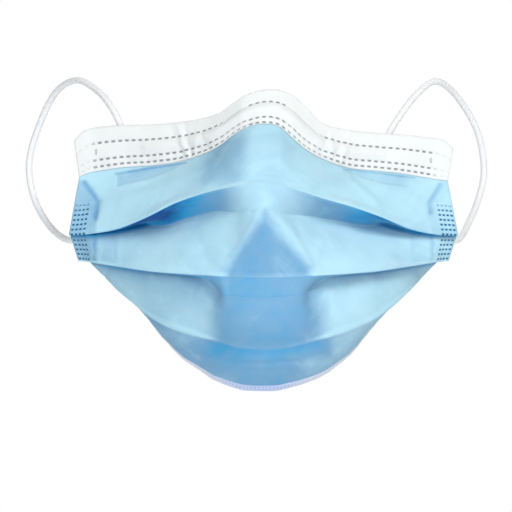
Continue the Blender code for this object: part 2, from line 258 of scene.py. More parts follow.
# Lamps: name, setting of its power, place, target, size, colour
LAMPS = (
    ("key_softbox", "key_power", (0.52, -1.00, 0.82), (0, 0, -0.04), 0.55, (1.0, 0.99, 0.97)),
    ("front_fill", "fill_power", (-0.7, -1.3, 0.35), (0, 0, -0.05), 0.9, (0.97, 0.985, 1.0)),
    ("under_bounce", "under_power", (0.0, -0.6, -0.36), (0, 0, -0.08), 0.4, (0.70, 0.85, 1.0)),
    ("back_fill", "back_power", (-0.4, 1.5, 0.8), (0, 0, -0.03), 0.9, (1.0, 1.0, 1.0)),
)
FLOOR_LAMP_POWER = 9.0


def smooth(value, low, high):
    """0 below low, 1 above high, and a soft step between."""
    share = np.clip((value - low) / (high - low), 0.0, 1.0)
    return share * share * (3 - 2 * share)


def cubic(knots, place):
    """Read a smooth curve through (place, value) knots."""
    index = 0
    while index < len(knots) - 2 and place > knots[index + 1][0]:
        index += 1
    slopes = []
    for knot in (index, index + 1):
        before = max(knot - 1, 0)
        after = min(knot + 1, len(knots) - 1)
        run = knots[after][0] - knots[before][0]
        slopes.append((knots[after][1] - knots[before][1]) / run)
    start, end = knots[index], knots[index + 1]
    span = end[0] - start[0]
    share = (place - start[0]) / span
    squared = share * share
    cubed = squared * share
    return (
        (2 * cubed - 3 * squared + 1) * start[1]
        + (cubed - 2 * squared + share) * span * slopes[0]
        + (3 * squared - 2 * cubed) * end[1]
        + (cubed - squared) * span * slopes[1]
    )


def knots_of(table, columns, left, right, odd=False):
    """Signed knots from -1 to 1 of one table column, or of a left and a right one."""
    sign = -1.0 if odd else 1.0
    left_half = [(-row[0], sign * row[columns.index(left)]) for row in reversed(table[1:])]
    right_half = [(row[0], row[columns.index(right)]) for row in table]
    return left_half + right_half


HEIGHT_KNOTS = {}
for edge_name, left_end, right_end in (("top", "_L", "_R"), ("band", "_L", "_R"), ("pleat1", "_L", "_R"),
                                       ("pleat2", "", ""), ("pleat3", "", ""), ("hem", "", "")):
    HEIGHT_KNOTS[edge_name] = knots_of(HEIGHTS, HEIGHT_COLUMNS, edge_name + left_end, edge_name + right_end)
DEPTH_KNOTS = {name: knots_of(DEPTHS, DEPTH_COLUMNS, name, name) for name in DEPTH_COLUMNS[1:]}
REACH_KNOTS = {name: knots_of(SPREADS, SPREAD_COLUMNS, name, name, odd=True) for name in ("pleat3", "hem")}
TURN_KNOTS = {name: knots_of(SPREADS, SPREAD_COLUMNS, name, name) for name in ("strip1_turn", "strip2_turn")}


def row_point(name, station):
    """The place of a named edge or crease on one column of the mask."""
    if name in ROW_REACH:
        reach = ROW_REACH[name] * station
    else:
        reach = cubic(REACH_KNOTS[name], station)
    return Vector((
        HALF_WIDTH * reach,
        DEPTH * cubic(DEPTH_KNOTS[name], station),
        DROP * cubic(HEIGHT_KNOTS[name], station),
    ))


def outward_at(station):
    """Level direction away from the face."""
    turn = CHEEK_TURN * float(smooth(abs(station), 0.0, CHEEK_START))
    return Vector((math.copysign(math.sin(turn), station), -math.cos(turn), 0.0))


def heading(angle, outward):
    """Direction in a column's section: 0 is down, a quarter turn into the face, a half turn up."""
    return -outward * math.sin(angle) - Vector((0, 0, 1)) * math.cos(angle)


def angle_of(step, outward):
    """The angle that heading would turn into a step."""
    return math.atan2(-step.dot(outward), -step.z)


def pressed(station):
    """1 in the open cloth, less where the side seam presses the plies together."""
    return 1.0 - SEAM_PRESS * smooth(abs(station), *SEAM_STATIONS)


def fold(corner, angle_in, angle_out, width, outward):
    """A round fold of the cloth as two soft corners, and its second corner."""
    across = heading(0.5 * (angle_in + angle_out), outward)
    cut = FOLD_ROUNDING * width
    second = corner + across * width
    points = []
    for middle, into, away in (
        (corner, heading(angle_in, outward), across),
        (second, across, heading(angle_out, outward)),
    ):
        start = middle - into * cut
        end = middle + away * cut
        for step in range(ROWS["fold"]):
            share = step / (ROWS["fold"] - 1)
            points.append(start.lerp(middle, share).lerp(middle.lerp(end, share), share))
    return points, second


def stretch(start, end, bulge, count, outward):
    """Points strictly between two places, bulged away from the face by a share of DEPTH."""
    lean = angle_of(end - start, outward)
    forward = heading(lean - math.pi / 2, outward)
    points = []
    for index in range(1, count + 1):
        share = index / (count + 1)
        points.append(start.lerp(end, share) + forward * (4 * DEPTH * bulge * share * (1 - share)))
    return points


def outer_column(station):
    """The middle of the outer cloth at one station, from under the band down to the hem."""
    out = outward_at(station)
    rows = {name: row_point(name, station) for name in DEPTH_COLUMNS[1:]}
    turns = [math.pi * cubic(TURN_KNOTS[name], station) for name in ("strip1_turn", "strip2_turn")]
    free = 1 - station ** 4
    path = []
    up_band = (rows["top"] - rows["band"]).normalized()
    path += stretch(rows["band"] + up_band * UNDERLAP, rows["band"], 0, ROWS["underlap"], out)
    path.append(rows["band"])
    start = rows["band"]
    plan = (
        ("pleat1", "pleat2", turns[0], FIRST_STRIP, "panel1", "strip1"),
        ("pleat2", "pleat3", turns[1], SECOND_STRIP, "panel2", "strip2"),
    )
    for lip, below, turn, strip, panel_name, strip_name in plan:
        angle_in = angle_of(rows[lip] - start, out)
        width = FOLD_WIDTH * pressed(station)
        lip_fold, lip_second = fold(rows[lip], angle_in, turn, width, out)
        inner = lip_second + heading(turn, out) * strip
        angle_out = angle_of(rows[below] - inner, out)
        open_width = width * (OPEN_FOLD + (1 - OPEN_FOLD) * float(smooth(abs(station), *OPEN_FOLD_STATIONS)))
        inner_fold, inner_second = fold(inner, turn, angle_out, open_width, out)
        path += stretch(path[-1], lip_fold[0], BULGE[panel_name] * free, ROWS[panel_name], out)
        path += lip_fold
        path += stretch(lip_fold[-1], inner_fold[0], 0, ROWS[strip_name], out)
        path += inner_fold
        start = inner_second
    path += stretch(path[-1], rows["pleat3"], BULGE["panel3"] * free, ROWS["panel3"], out)
    path.append(rows["pleat3"])
    path += stretch(rows["pleat3"], rows["hem"], BULGE["chin"] * free, ROWS["chin"], out)
    return path


# Row numbers of the outer cloth where its creases begin. A fold has two corners of as many rows, so its
# second corner begins HALF_FOLD rows on.
HALF_FOLD = ROWS["fold"]
ROW_BAND = ROWS["underlap"]
ROW_LIP1 = ROW_BAND + ROWS["panel1"] + 1
ROW_INNER1 = ROW_LIP1 + 2 * HALF_FOLD + ROWS["strip1"]
ROW_LIP2 = ROW_INNER1 + 2 * HALF_FOLD + ROWS["panel2"]
ROW_INNER2 = ROW_LIP2 + 2 * HALF_FOLD + ROWS["strip2"]
ROW_LIP3 = ROW_INNER2 + 2 * HALF_FOLD + ROWS["panel3"]


def stations_of(count):
    """Evenly spaced columns from the left side, -1, to the right side, 1."""
    return np.linspace(-1.0, 1.0, count)


def grid_of(column, stations):
    return np.array([[tuple(point) for point in column(float(station))] for station in stations])


def edge_line(name, stations):
    """The points of one named edge."""
    return np.array([tuple(row_point(name, float(station))) for station in stations])


def blend(first, second, shares):
    """Rows of points from a first line to a second one."""
    return first[:, None] * (1 - shares)[None, :, None] + second[:, None] * shares[None, :, None]


def normals_of(grid):
    """Unit normals of a grid, on the side away from the face."""
    along = np.gradient(grid, axis=0)
    down = np.gradient(grid, axis=1)
    normal = -np.cross(along, down)
    length = np.linalg.norm(normal, axis=2, keepdims=True)
    return normal / np.maximum(length, 1e-12)


def bump_at(value, centre, width):
    """1 at a centre, falling softly to 0 on both sides."""
    return np.exp(-((value - centre) / width) ** 2)


def along_line(x, z, line, width):
    """Strength of a soft crease that follows a line of (x, z) points, given with its width in mm."""
    points = [np.array(point) * MM for point in line]
    best = np.full(x.shape, 1e9)
    for first, second in zip(points, points[1:]):
        step = second - first
        share = ((x - first[0]) * step[0] + (z - first[1]) * step[1]) / (step @ step)
        share = np.clip(share, 0.0, 1.0)
        gap = (x - first[0] - share * step[0]) ** 2 + (z - first[1] - share * step[1]) ** 2
        best = np.minimum(best, gap)
    return np.exp(-best / (width * MM) ** 2)


# Soft creases and ridges of the worn cloth, as seen from the front: points (x, z), width and rise in mm
CREASES = (
    (((-72.0, -27.5), (-71.2, -29.1), (-65.9, -36.6), (-67.6, -43.0)), 1.3, -0.9),
    (((71.5, -28.0), (70.4, -29.9), (66.1, -37.4), (66.8, -42.0)), 1.3, -0.8),
    (((-59.0, -48.8), (-59.4, -61.0)), 0.9, -0.40),
    (((-64.2, -48.8), (-64.4, -61.0)), 0.7, -0.25),
    (((59.6, -49.5), (59.8, -61.0)), 0.9, -0.35),
    (((65.3, -49.5), (65.5, -60.0)), 0.7, -0.20),
    (((-0.2, -41.0), (-7.0, -51.5), (-15.6, -64.6)), 1.5, 0.75),
    (((1.8, -36.0), (9.3, -47.0), (18.6, -63.4)), 1.7, 0.70),
    (((29.1, -23.0), (44.6, -37.4)), 1.6, 0.50),
    (((-20.0, -18.0), (-9.0, -33.0)), 2.5, -0.45),
    (((-56.0, -36.0), (-36.0, -29.5), (-26.0, -24.0)), 2.6, 0.45),
    (((-55.0, -31.5), (-44.0, -29.8)), 1.6, -0.35),
    (((46.0, -31.0), (60.0, -35.0)), 2.4, 0.40),
    (((-42.0, -72.0), (-35.0, -81.0)), 2.2, -0.50),
    (((-50.0, -67.0), (-43.0, -76.0)), 1.8, 0.35),
    (((40.0, -70.0), (47.0, -76.0)), 2.4, -0.40),
    (((-18.0, -100.0), (-5.0, -100.8), (13.5, -100.0)), 0.7, -0.30),
    (((-13.0, -103.6), (10.0, -103.8)), 0.7, -0.20),
    (((-26.0, -52.0), (-21.0, -63.0)), 2.6, -0.35),
    (((-62.5, -62.0), (-63.5, -66.0)), 0.8, -0.60),
    (((63.0, -62.0), (62.5, -66.0)), 0.8, -0.50),
)

# Small tucks under the band: upper line, lower line (x, z) and drop, in mm
TUCKS = (
    (((-59.2, -25.6), (-45.0, -23.4), (-30.6, -21.6)),
     ((-60.0, -31.0), (-47.1, -27.8), (-30.6, -22.4)), 0.65),
    (((31.3, -24.0), (46.0, -25.4), (60.2, -27.2)),
     ((31.3, -24.8), (46.0, -29.6), (60.2, -32.0)), 0.50),
)

# Slow waves of the cloth: waves per metre along x and z, phase, depth in mm
WAVES = (
    (13.0, 21.0, 0.4, 0.30),
    (29.0, -11.0, 1.9, 0.20),
    (47.0, 33.0, 4.2, 0.11),
    (-61.0, 52.0, 2.7, 0.07),
    (90.0, 18.0, 5.6, 0.05),
    (140.0, -75.0, 0.7, 0.035),
    (-115.0, -160.0, 3.3, 0.03),
)


def tuck_profile(x, z, upper, lower):
    """0 to 1 from the upper line of a tuck down to its lower line, and 0 outside."""
    xs = [place[0] * MM for place in upper]
    top = np.interp(x, xs, [place[1] * MM for place in upper])
    low = np.interp(x, xs, [place[1] * MM for place in lower])
    inside = (x > xs[0]) & (x < xs[-1]) & (z < top) & (z > low)
    share = np.clip((top - z) / np.maximum(top - low, 1e-6), 0.0, 1.0)
    ends = smooth(x, xs[0], xs[0] + 0.8 * MM) * (1 - smooth(x, xs[-1] - 6 * MM, xs[-1]))
    return np.where(inside, share, 0.0), np.where(inside, ends, 0.0)


def relief(x, z, station):
    """How far the worn cloth stands out at a place, in metres."""
    height = np.zeros(x.shape)
    for wave_x, wave_z, phase, depth in WAVES:
        height += depth * MM * np.sin(2 * math.pi * (wave_x * x + wave_z * z) + phase)
    for line, width, depth in CREASES:
        height += depth * MM * along_line(x, z, line, width)
    for upper, lower, drop in TUCKS:
        share, ends = tuck_profile(x, z, upper, lower)
        sunk = (0.35 + 0.65 * np.minimum(share / 0.75, 1.0)) * (1 - smooth(share, 0.8, 1.0))
        height -= drop * MM * ends * sunk
    return height * (1 - np.abs(station) ** 6)


def patch(x, z, corners, soft):
    """1 inside a convex outline given anticlockwise as (x, z) in mm, falling to 0 over a soft edge."""
    inside = np.full(x.shape, 1e9)
    for first, second in zip(corners, corners[1:] + corners[:1]):
        step = (np.array(second) - np.array(first)) * MM
        step /= np.linalg.norm(step)
        gap = step[0] * (z - first[1] * MM) - step[1] * (x - first[0] * MM)
        inside = np.minimum(inside, gap)
    return smooth(inside, -soft * MM / 2, soft * MM / 2)


def row_share(rows, first, last):
    """0 at a first row, 1 at a last row."""
    return np.clip((np.arange(rows) - first) / (last - first), 0.0, 1.0)[None, :]


def between_rows(row, first, last):
    return (row > first) & (row < last)


# Rise of the cloth along its open creases, in mm: ridges at the lips and grooves at the inner folds
CREASE_RISES = ((ROW_LIP1, 0.20), (ROW_INNER1, -0.10), (ROW_LIP2, 0.22), (ROW_INNER2, -0.12))
CREASE_ROWS = 2.2
OPEN_STATIONS = 0.55

# The third crease, which is a plain ridge, lower at the middle of the chin
LIP3_RISE = 0.60 * MM

# Swellings beside the open folds, alike on both sides: row and its width, station and its width, rise in mm
SWELLS = (
    (ROW_LIP1 + 3, 6.0, 0.50, 0.16, 0.5),
    (ROW_INNER1 - 5, 5.0, 0.50, 0.15, -1.2),
)

# The sunken triangle below the nose: outline (x, z), soft edge and depth in mm
TRIANGLE = ((0.6, -40.0), (-15.6, -64.6), (-14.0, -78.0), (18.0, -78.0), (18.6, -63.4))
TRIANGLE_EDGE = 3.0
TRIANGLE_DEPTH = 1.4

UNDERLAP_SET_BACK = 0.40 * MM
EDGE_INSET = 0.4 * MM
EASE_COLUMNS = 40
EASE_STATIONS = 0.075
PANEL2_SPREAD = 0.024


def pleat_relief(x, z, side, row):
    """How far each place of the worn cloth stands out from its smooth sweep, in metres."""
    rows = row.shape[1]
    height = relief(x, z, side)
    for lip, inner in ((ROW_LIP1, ROW_INNER1), (ROW_LIP2, ROW_INNER2)):
        first, last = lip - 1, inner + 2 * HALF_FOLD
        height = height * (1 - smooth(row, first - 4, first) * (1 - smooth(row, last, last + 4)))
    for crease, rise in CREASE_RISES:
        along = bump_at(row, crease + HALF_FOLD - 0.5, CREASE_ROWS)
        height = height + rise * MM * along * bump_at(side, 0.0, OPEN_STATIONS)
    height += LIP3_RISE * bump_at(row, ROW_LIP3, 1.5) * (1 - 0.9 * bump_at(side, 0.02, 0.24))
    below_lip1 = smooth(row_share(rows, ROW_LIP1 + 2 * HALF_FOLD, ROW_LIP2), 0.0, 0.15)
    lower = 1 - 0.6 * row_share(rows, ROW_LIP2, ROW_INNER2 + 8)
    height -= TRIANGLE_DEPTH * MM * patch(x, z, TRIANGLE, TRIANGLE_EDGE) * below_lip1 * lower
    for place, place_width, station, width, rise in SWELLS:
        height += rise * MM * bump_at(np.abs(side), station, width) * bump_at(row, place, place_width)
    height *= smooth(row, ROW_BAND + 1, ROW_BAND + 7)
    return height - UNDERLAP_SET_BACK * (1 - smooth(row, ROW_BAND - 4, ROW_BAND))


def keep_behind_edges(worn, side, row):
    """Draw the folded cloth above the first lip in behind the slanted side edges of the upper panel."""
    rooms = []
    for column in (0, -1):
        edge = worn[column, ROW_BAND:ROW_LIP1 + 1]
        order = np.argsort(edge[:, 2])
        reach = (np.abs(edge[order, 0]) - EDGE_INSET) / abs(edge[-1, 0])
        rooms.append(np.interp(worn[..., 2], edge[order, 2], reach))
    room = np.minimum(np.where(side < 0, rooms[0], rooms[1]), 1.0)
    behind = between_rows(row, ROW_LIP1 + HALF_FOLD, ROW_LIP2)
    lip = worn[:, ROW_LIP1 + HALF_FOLD, 2][:, None]
    above = smooth(worn[..., 2] - lip, 0.2 * MM, 2.0 * MM)
    worn[..., 0] *= 1 - behind * above * (1 - room) * np.abs(side) ** 6


def ease_panel3(worn, side, row):
    """Even out the depth of the third panel across the stations, where the open strip would ripple it."""
    offsets = np.arange(-EASE_COLUMNS, EASE_COLUMNS + 1) * (side[1, 0] - side[0, 0])
    weights = np.exp(-0.5 * (offsets / EASE_STATIONS) ** 2)
    weights /= weights.sum()
    padded = np.pad(worn[..., 1], ((EASE_COLUMNS, EASE_COLUMNS), (0, 0)), mode="edge")
    eased = sum(weight * padded[start:start + len(side)] for start, weight in enumerate(weights))
    top = ROW_INNER2 + HALF_FOLD
    share = smooth(row, top + 2, top + 14) * (1 - smooth(row, ROW_LIP3 - 4, ROW_LIP3 + 8))
    share = share * (1 - smooth(np.abs(side), 0.50, 0.70))
    worn[..., 1] += (eased - worn[..., 1]) * share


def worn_grid(count):
    """The worn outer cloth: its middle grid and the stations of its columns."""
    stations = stations_of(count)
    grid = grid_of(outer_column, stations)
    side = stations[:, None]
    row = np.arange(grid.shape[1])[None, :]
    worn = grid + normals_of(grid) * pleat_relief(grid[..., 0], grid[..., 2], side, row)[..., None]
    keep_behind_edges(worn, side, row)
    ease_panel3(worn, side, row)
    down_panel2 = row_share(grid.shape[1], ROW_INNER1 + HALF_FOLD, ROW_LIP2)
    spread = PANEL2_SPREAD * (1 - np.abs(2 * down_panel2 - 1)) * np.abs(side) ** 8
    worn[..., 0] += HALF_WIDTH * spread * np.sign(side)
    return worn, stations


# The tones from here on are painted shade, and painted light below 0, matched to the photo. 1 is the deepest
# blue.

# How deep the painted shade is in the first strip, at these distances from the middle, left and right
CAVE_STATIONS = (0.0, 0.10, 0.18, 0.26, 0.34, 0.42, 0.50, 0.58, 0.68, 0.80, 0.92, 1.0)
CAVE_SHADE_LEFT = (0.0, 0.05, 0.22, 0.42, 0.62, 0.86, 1.2, 1.2, 0.95, 0.70, 0.50, 0.45)
CAVE_SHADE_RIGHT = (0.0, 0.05, 0.16, 0.28, 0.42, 0.56, 0.85, 0.88, 0.78, 0.62, 0.50, 0.45)

# How much of the painted shade is lost up the strip, how much is left past the inner fold and over how many
# rows, and the even painted shade of the second strip
CAVE_LOSS = 0.40
CAVE_REST = 0.50
CAVE_REST_ROWS = 2.2
STRIP2_SHADE = 0.42

# Shades on the panel below each lip: row of the lip, side (-1 left, 1 right, 0 both), whether it falls off as
# a tight line, strength, reach in mm, stations over which it sets in, and those over which it ends
LIP_SHADES = (
    (ROW_LIP1, 0, True, 0.50, 1.0, (0.60, 0.72), None),
    (ROW_LIP1, -1, False, 0.42, 1.7, (0.34, 0.50), (0.86, 0.96)),
    (ROW_LIP1, 1, False, 0.30, 1.7, (0.50, 0.64), (0.86, 0.96)),
    (ROW_LIP2, 0, True, 0.34, 1.1, (0.30, 0.42), None),
    (ROW_LIP2, 0, False, 0.26, 3.0, (0.30, 0.45), None),
)

# Painted shade of the front, and painted light where it is paler: the triangle and the column under it, the
# third crease (painted highlight, paler), the chin all over, at its middle and at its right (paler, painted
# light), the chin's top (paler), the third panel and its right (paler), the upper panels' middle, the left and
# the right (paler) of the whole front, and the left side of the nose
MIDDLE_SHADE = 0.33
LIP3_HIGHLIGHT = -0.16
CHIN_SHADE = 0.27
CHIN_MIDDLE_SHADE = 0.10
CHIN_RIGHT_LIGHT = -0.13
CHIN_TOP_LIGHT = -0.05
PANEL3_SHADE = 0.06
PANEL3_RIGHT_LIGHT = -0.03
UPPER_MIDDLE_SHADE = 0.06
LEFT_SHADE = 0.01
RIGHT_LIGHT = -0.04
NOSE_SIDE_SHADE = 0.17

# Painted shade of the sides, left and right where they differ: the line and the shade of a tuck of a full
# drop, in mm, the pressed seam above and below the first lip, its own deeper blue with painted shade on it,
# the cloth beside it, and the valleys
TUCK_LINE_SHADE = 0.26
TUCK_SHADE_TONE = 0.17
TUCK_FULL_DROP = 0.65
SEAM_UPPER_TONES = (0.17, 0.10)
SEAM_LOWER_TONES = (0.18, 0.11)
BESIDE_SEAM_SHADE = 0.12
VALLEY_SHADE = 0.20

# Outlines (x, z) and soft edges, in mm, of the parts of the front in painted shade, and of the seam, partly
# its own blue
TRIANGLE_SHADE = (((0.6, -43.0), (-15.4, -64.4), (-14.5, -72.0), (19.0, -72.0), (18.2, -63.2)), 6.5)
COLUMN_SHADE = (((-17.0, -64.0), (-20.0, -96.0), (24.5, -96.0), (21.0, -64.0)), 11.0)
NOSE_SHADE = (((-24.0, -12.0), (-24.0, -31.0), (-7.0, -31.0), (-7.0, -10.0)), 7.0)
SEAM_TONE = (((67.0, -50.0), (82.0, -50.0), (82.0, -27.0), (71.5, -28.0), (65.5, -36.6)), 1.6)
VALLEYS = (((-71.2, -29.1), (-65.9, -36.6), (-67.0, -43.0)), ((70.4, -29.9), (66.1, -37.4), (66.6, -41.0)))


def fold_shade(z, row, side):
    """The painted shade inside the folds, and the painted shade close below each lip."""
    depths = [np.interp(np.abs(side), CAVE_STATIONS, row_depths) for row_depths in (CAVE_SHADE_LEFT, CAVE_SHADE_RIGHT)]
    cave_shade = np.where(side < 0, depths[0], depths[1])
    past = row - ROW_INNER1 - HALF_FOLD
    in_strip1 = (row > ROW_LIP1 + HALF_FOLD - 1) & (past <= 0)
    up_strip1 = row_share(row.shape[1], ROW_LIP1 + HALF_FOLD, ROW_INNER1 + HALF_FOLD)
    rest = CAVE_REST * (past > 0) * np.exp(-np.maximum(past, 0) / CAVE_REST_ROWS)
    tone = cave_shade * (in_strip1 * (1 - CAVE_LOSS * up_strip1) + rest)
    tone += STRIP2_SHADE * between_rows(row, ROW_LIP2 + HALF_FOLD - 1, ROW_INNER2 + 2)
    panels = {ROW_LIP1: between_rows(row, ROW_INNER1 + HALF_FOLD, ROW_LIP2),
              ROW_LIP2: between_rows(row, ROW_INNER2 + HALF_FOLD, ROW_LIP3)}
    for lip, sign, tight, strength, reach, begin, end in LIP_SHADES:
        below = np.abs(z[:, lip + HALF_FOLD][:, None] - z) / (reach * MM)
        shade = strength * panels[lip] * np.exp(-below ** 2 if tight else -below)
        shade = shade * smooth(sign * side if sign else np.abs(side), *begin)
        if end:
            shade = shade * (1 - smooth(np.abs(side), *end))
        tone = tone + shade
    return tone


def front_shade_and_light(x, z, row, side):
    """The painted shade and painted light over the open panels and the chin."""
    away = np.abs(side)
    triangle = patch(x, z, *TRIANGLE_SHADE) * (row <= ROW_LIP2 + 4)
    column = patch(x, z, *COLUMN_SHADE) * (row > ROW_INNER2)
    tone = MIDDLE_SHADE * np.maximum(triangle, column) * (row > ROW_LIP1 + 2 * HALF_FOLD)
    lip3 = bump_at(row, ROW_LIP3 - 0.5, 1.0)
    tone += LIP3_HIGHLIGHT * lip3 * smooth(away, 0.18, 0.34) * (1 - smooth(away, 0.62, 0.80))
    tone += CHIN_TOP_LIGHT * bump_at(row, ROW_LIP3 + 3, 3.0) * bump_at(x, 2 * MM, 22 * MM)
    tone += LEFT_SHADE + RIGHT_LIGHT * smooth(x, -30 * MM, 30 * MM)
    tone += UPPER_MIDDLE_SHADE * bump_at(x, 2 * MM, 24 * MM) * (row < ROW_LIP2)
    chin = CHIN_MIDDLE_SHADE * bump_at(x, 0.0, 25 * MM) + CHIN_RIGHT_LIGHT * smooth(x, 5 * MM, 45 * MM)
    tone += smooth(row, ROW_LIP3, ROW_LIP3 + 1.5) * (CHIN_SHADE + chin)
    panel3 = PANEL3_SHADE + PANEL3_RIGHT_LIGHT * smooth(x, -20 * MM, 30 * MM)
    tone += between_rows(row, ROW_INNER2 + 2, ROW_LIP3 + 1) * panel3
    return tone + NOSE_SIDE_SHADE * patch(x, z, *NOSE_SHADE) * (row < ROW_LIP1)


def side_shade_and_seam_blue(x, z, row):
    """Painted shade of the tucks, beside the side seams and in the valleys, and the seams' own deeper blue
    with painted shade.
    """
    tone = np.zeros(x.shape)
    for upper, lower, drop in TUCKS:
        share, ends = tuck_profile(x, z, upper, lower)
        line = TUCK_LINE_SHADE * along_line(x, z, upper, 0.42)
        shade = TUCK_SHADE_TONE * ends * (share > 0) * (1 - 0.5 * share)
        tone += (row < ROW_LIP1) * (line + shade) * drop / TUCK_FULL_DROP
    reach = np.abs(x)
    tone += patch(reach, z, *SEAM_TONE) * (row < ROW_LIP1 + HALF_FOLD) * np.where(x < 0, *SEAM_UPPER_TONES)
    seam = smooth(reach, 65.5 * MM, 67.5 * MM) * np.where(x < 0, *SEAM_LOWER_TONES)
    beside = BESIDE_SEAM_SHADE * smooth(reach, 57 * MM, 60.5 * MM) * (reach < 68 * MM)
    tone += between_rows(row, ROW_INNER1 + HALF_FOLD, ROW_LIP2) * (seam + beside)
    left, right = (along_line(x, z, line, 1.3) for line in VALLEYS)
    return tone + VALLEY_SHADE * np.maximum(left, right) * (row < ROW_LIP1)


def shade_and_seam_blue_of(grid, stations):
    """Painted shade and light of the blue cloth, from 0 where lit to 1 in a fold, with the seams' own deeper
    blue.
    """
    x, z = grid[..., 0], grid[..., 2]
    row = np.arange(grid.shape[1])[None, :]
    side = stations[:, None]
    return np.clip(fold_shade(z, row, side) + front_shade_and_light(x, z, row, side) + side_shade_and_seam_blue(x, z, row), 0.0, 1.0)


def distances(grid, axis):
    """Running length along one axis of a grid."""
    steps = np.linalg.norm(np.diff(grid, axis=axis), axis=2)
    pad = [(0, 0), (0, 0)]
    pad[axis] = (1, 0)
    return np.cumsum(np.pad(steps, pad), axis=axis)


def thin_edge(rows, wall, at_start):
    """A wall for each row of a sheet that thins out over four rows to one edge, where it is pressed flat."""
    share = smooth(np.arange(rows), -1, 3)
    if not at_start:
        share = share[::-1]
    return (wall * (0.22 + 0.78 * share))[None, :, None]


def sheet_mesh(name, grid, wall, uv_maps, tone=None):
    """A closed thin sheet round a grid of middle points, with the given UV maps and tone."""
    columns, rows = grid.shape[:2]
    normals = normals_of(grid)
    front = (grid + normals * wall / 2).reshape(-1, 3)
    back = (grid - normals * wall / 2).reshape(-1, 3)
    index = np.arange(columns * rows).reshape(columns, rows)
    a, b = index[:-1, :-1], index[:-1, 1:]
    c, d = index[1:, 1:], index[1:, :-1]
    size = columns * rows
    front_faces = np.stack([a, b, c, d], axis=-1).reshape(-1, 4)
    back_faces = np.stack([d, c, b, a], axis=-1).reshape(-1, 4) + size
    rim = np.concatenate([index[:, 0], index[-1, 1:], index[-2::-1, -1], index[0, -2:0:-1]])
    after = np.roll(rim, -1)
    rim_faces = np.stack([rim, after, after + size, rim + size], axis=-1)
    faces = np.concatenate([front_faces, back_faces, rim_faces])
    mesh = bpy.data.meshes.new(name)
    mesh.vertices.add(2 * size)
    mesh.vertices.foreach_set("co", np.concatenate([front, back]).ravel())
    mesh.loops.add(faces.size)
    mesh.loops.foreach_set("vertex_index", faces.ravel())
    mesh.polygons.add(len(faces))
    mesh.polygons.foreach_set("loop_start", np.arange(0, faces.size, 4))
    mesh.update(calc_edges=True)
    for uv_name, coordinates in uv_maps.items():
        layer = mesh.uv_layers.new(name=uv_name)
        flat = coordinates.reshape(-1, 2)
        both = np.concatenate([flat, flat])
        layer.data.foreach_set("uv", both[faces.ravel()].ravel())
    if tone is not None:
        layer = mesh.attributes.new("tone", "FLOAT", "POINT")
        layer.data.foreach_set("value", np.concatenate([tone.ravel(), tone.ravel()]).astype(np.float32))
    mesh.polygons.foreach_set("use_smooth", np.ones(len(faces), bool))
    mesh.validate()
    made = bpy.data.objects.new(name, mesh)
    bpy.context.collection.objects.link(made)
    return made


def linear(code):
    """A linear colour from an sRGB hex code."""
    parts = []
    for start in (1, 3, 5):
        part = int(code[start:start + 2], 16) / 255
        parts.append(part / 12.92 if part <= 0.04045 else ((part + 0.055) / 1.055) ** 2.4)
    return (*parts, 1.0)


def add(tree, kind, inputs=None, **settings):
    """Add a node with its settings. Each input is a value, or another node's output to link."""
    made = tree.nodes.new(kind)
    for name, value in settings.items():
        setattr(made, name, value)
    for socket, value in (inputs or {}).items():
        if isinstance(value, bpy.types.NodeSocket):
            tree.links.new(value, made.inputs[socket])
        else:
            made.inputs[socket].default_value = value
    return made


def maths(tree, operation, *numbers):
    """The result of one operation on numbers or other nodes' outputs."""
    return add(tree, "ShaderNodeMath", dict(enumerate(numbers)), operation=operation).outputs[0]


def product(tree, *factors):
    """Masks or numbers multiplied together."""
    total = factors[0]
    for factor in factors[1:]:
        total = maths(tree, "MULTIPLY", total, factor)
    return total


def mapped(tree, value, low, high, start=0.0, end=1.0):
    """A value taken from between low and high to between start and end."""
    inputs = {"Value": value, "From Min": low, "From Max": high, "To Min": start, "To Max": end}
    return add(tree, "ShaderNodeMapRange", inputs).outputs["Result"]


def mixed(tree, share, first, second):
    """The first colour, or the second one where the share is 1."""
    return add(tree, "ShaderNodeMix", {0: share, 6: first, 7: second}, data_type="RGBA").outputs[2]


def noise(tree, uv, size, detail, **inputs):
    """Noise with patches of about a size in metres."""
    inputs.update({"Vector": uv, "Scale": 1 / size, "Detail": detail})
    return add(tree, "ShaderNodeTexNoise", inputs).outputs["Fac"]


def uv_map(tree, name):
    """The named UV map."""
    return add(tree, "ShaderNodeUVMap", uv_map=name).outputs["UV"]


def parts_of(tree, vector):
    """The first two numbers of a vector."""
    return add(tree, "ShaderNodeSeparateXYZ", {0: vector}).outputs[:2]


def tone_input(tree):
    """The tone that the sheet's points carry."""
    return add(tree, "ShaderNodeAttribute", attribute_name="tone").outputs["Fac"]


def new_material(name, roughness, sheen):
    """A material with a Principled shader, and its tree and shader."""
    made = bpy.data.materials.new(name)
    made.use_nodes = True
    shader = made.node_tree.nodes["Principled BSDF"]
    shader.inputs["Roughness"].default_value = roughness
    shader.inputs["Sheen Weight"].default_value = sheen
    shader.inputs["Specular IOR Level"].default_value = SPECULAR
    return made, made.node_tree, shader


def in_band(tree, value, centre, half):
    """1 where a value lies within half of a centre, with soft edges."""
    gap = maths(tree, "ABSOLUTE", maths(tree, "SUBTRACT", value, centre))
    return mapped(tree, gap, half * 1.25, half * 0.75)


def repeated(tree, value, pitch, half):
    """1 around the middle of every pitch, as far as half, a share of the pitch, on both sides."""
    return in_band(tree, maths(tree, "FRACT", maths(tree, "MULTIPLY", value, 1 / pitch)), 0.5, half)


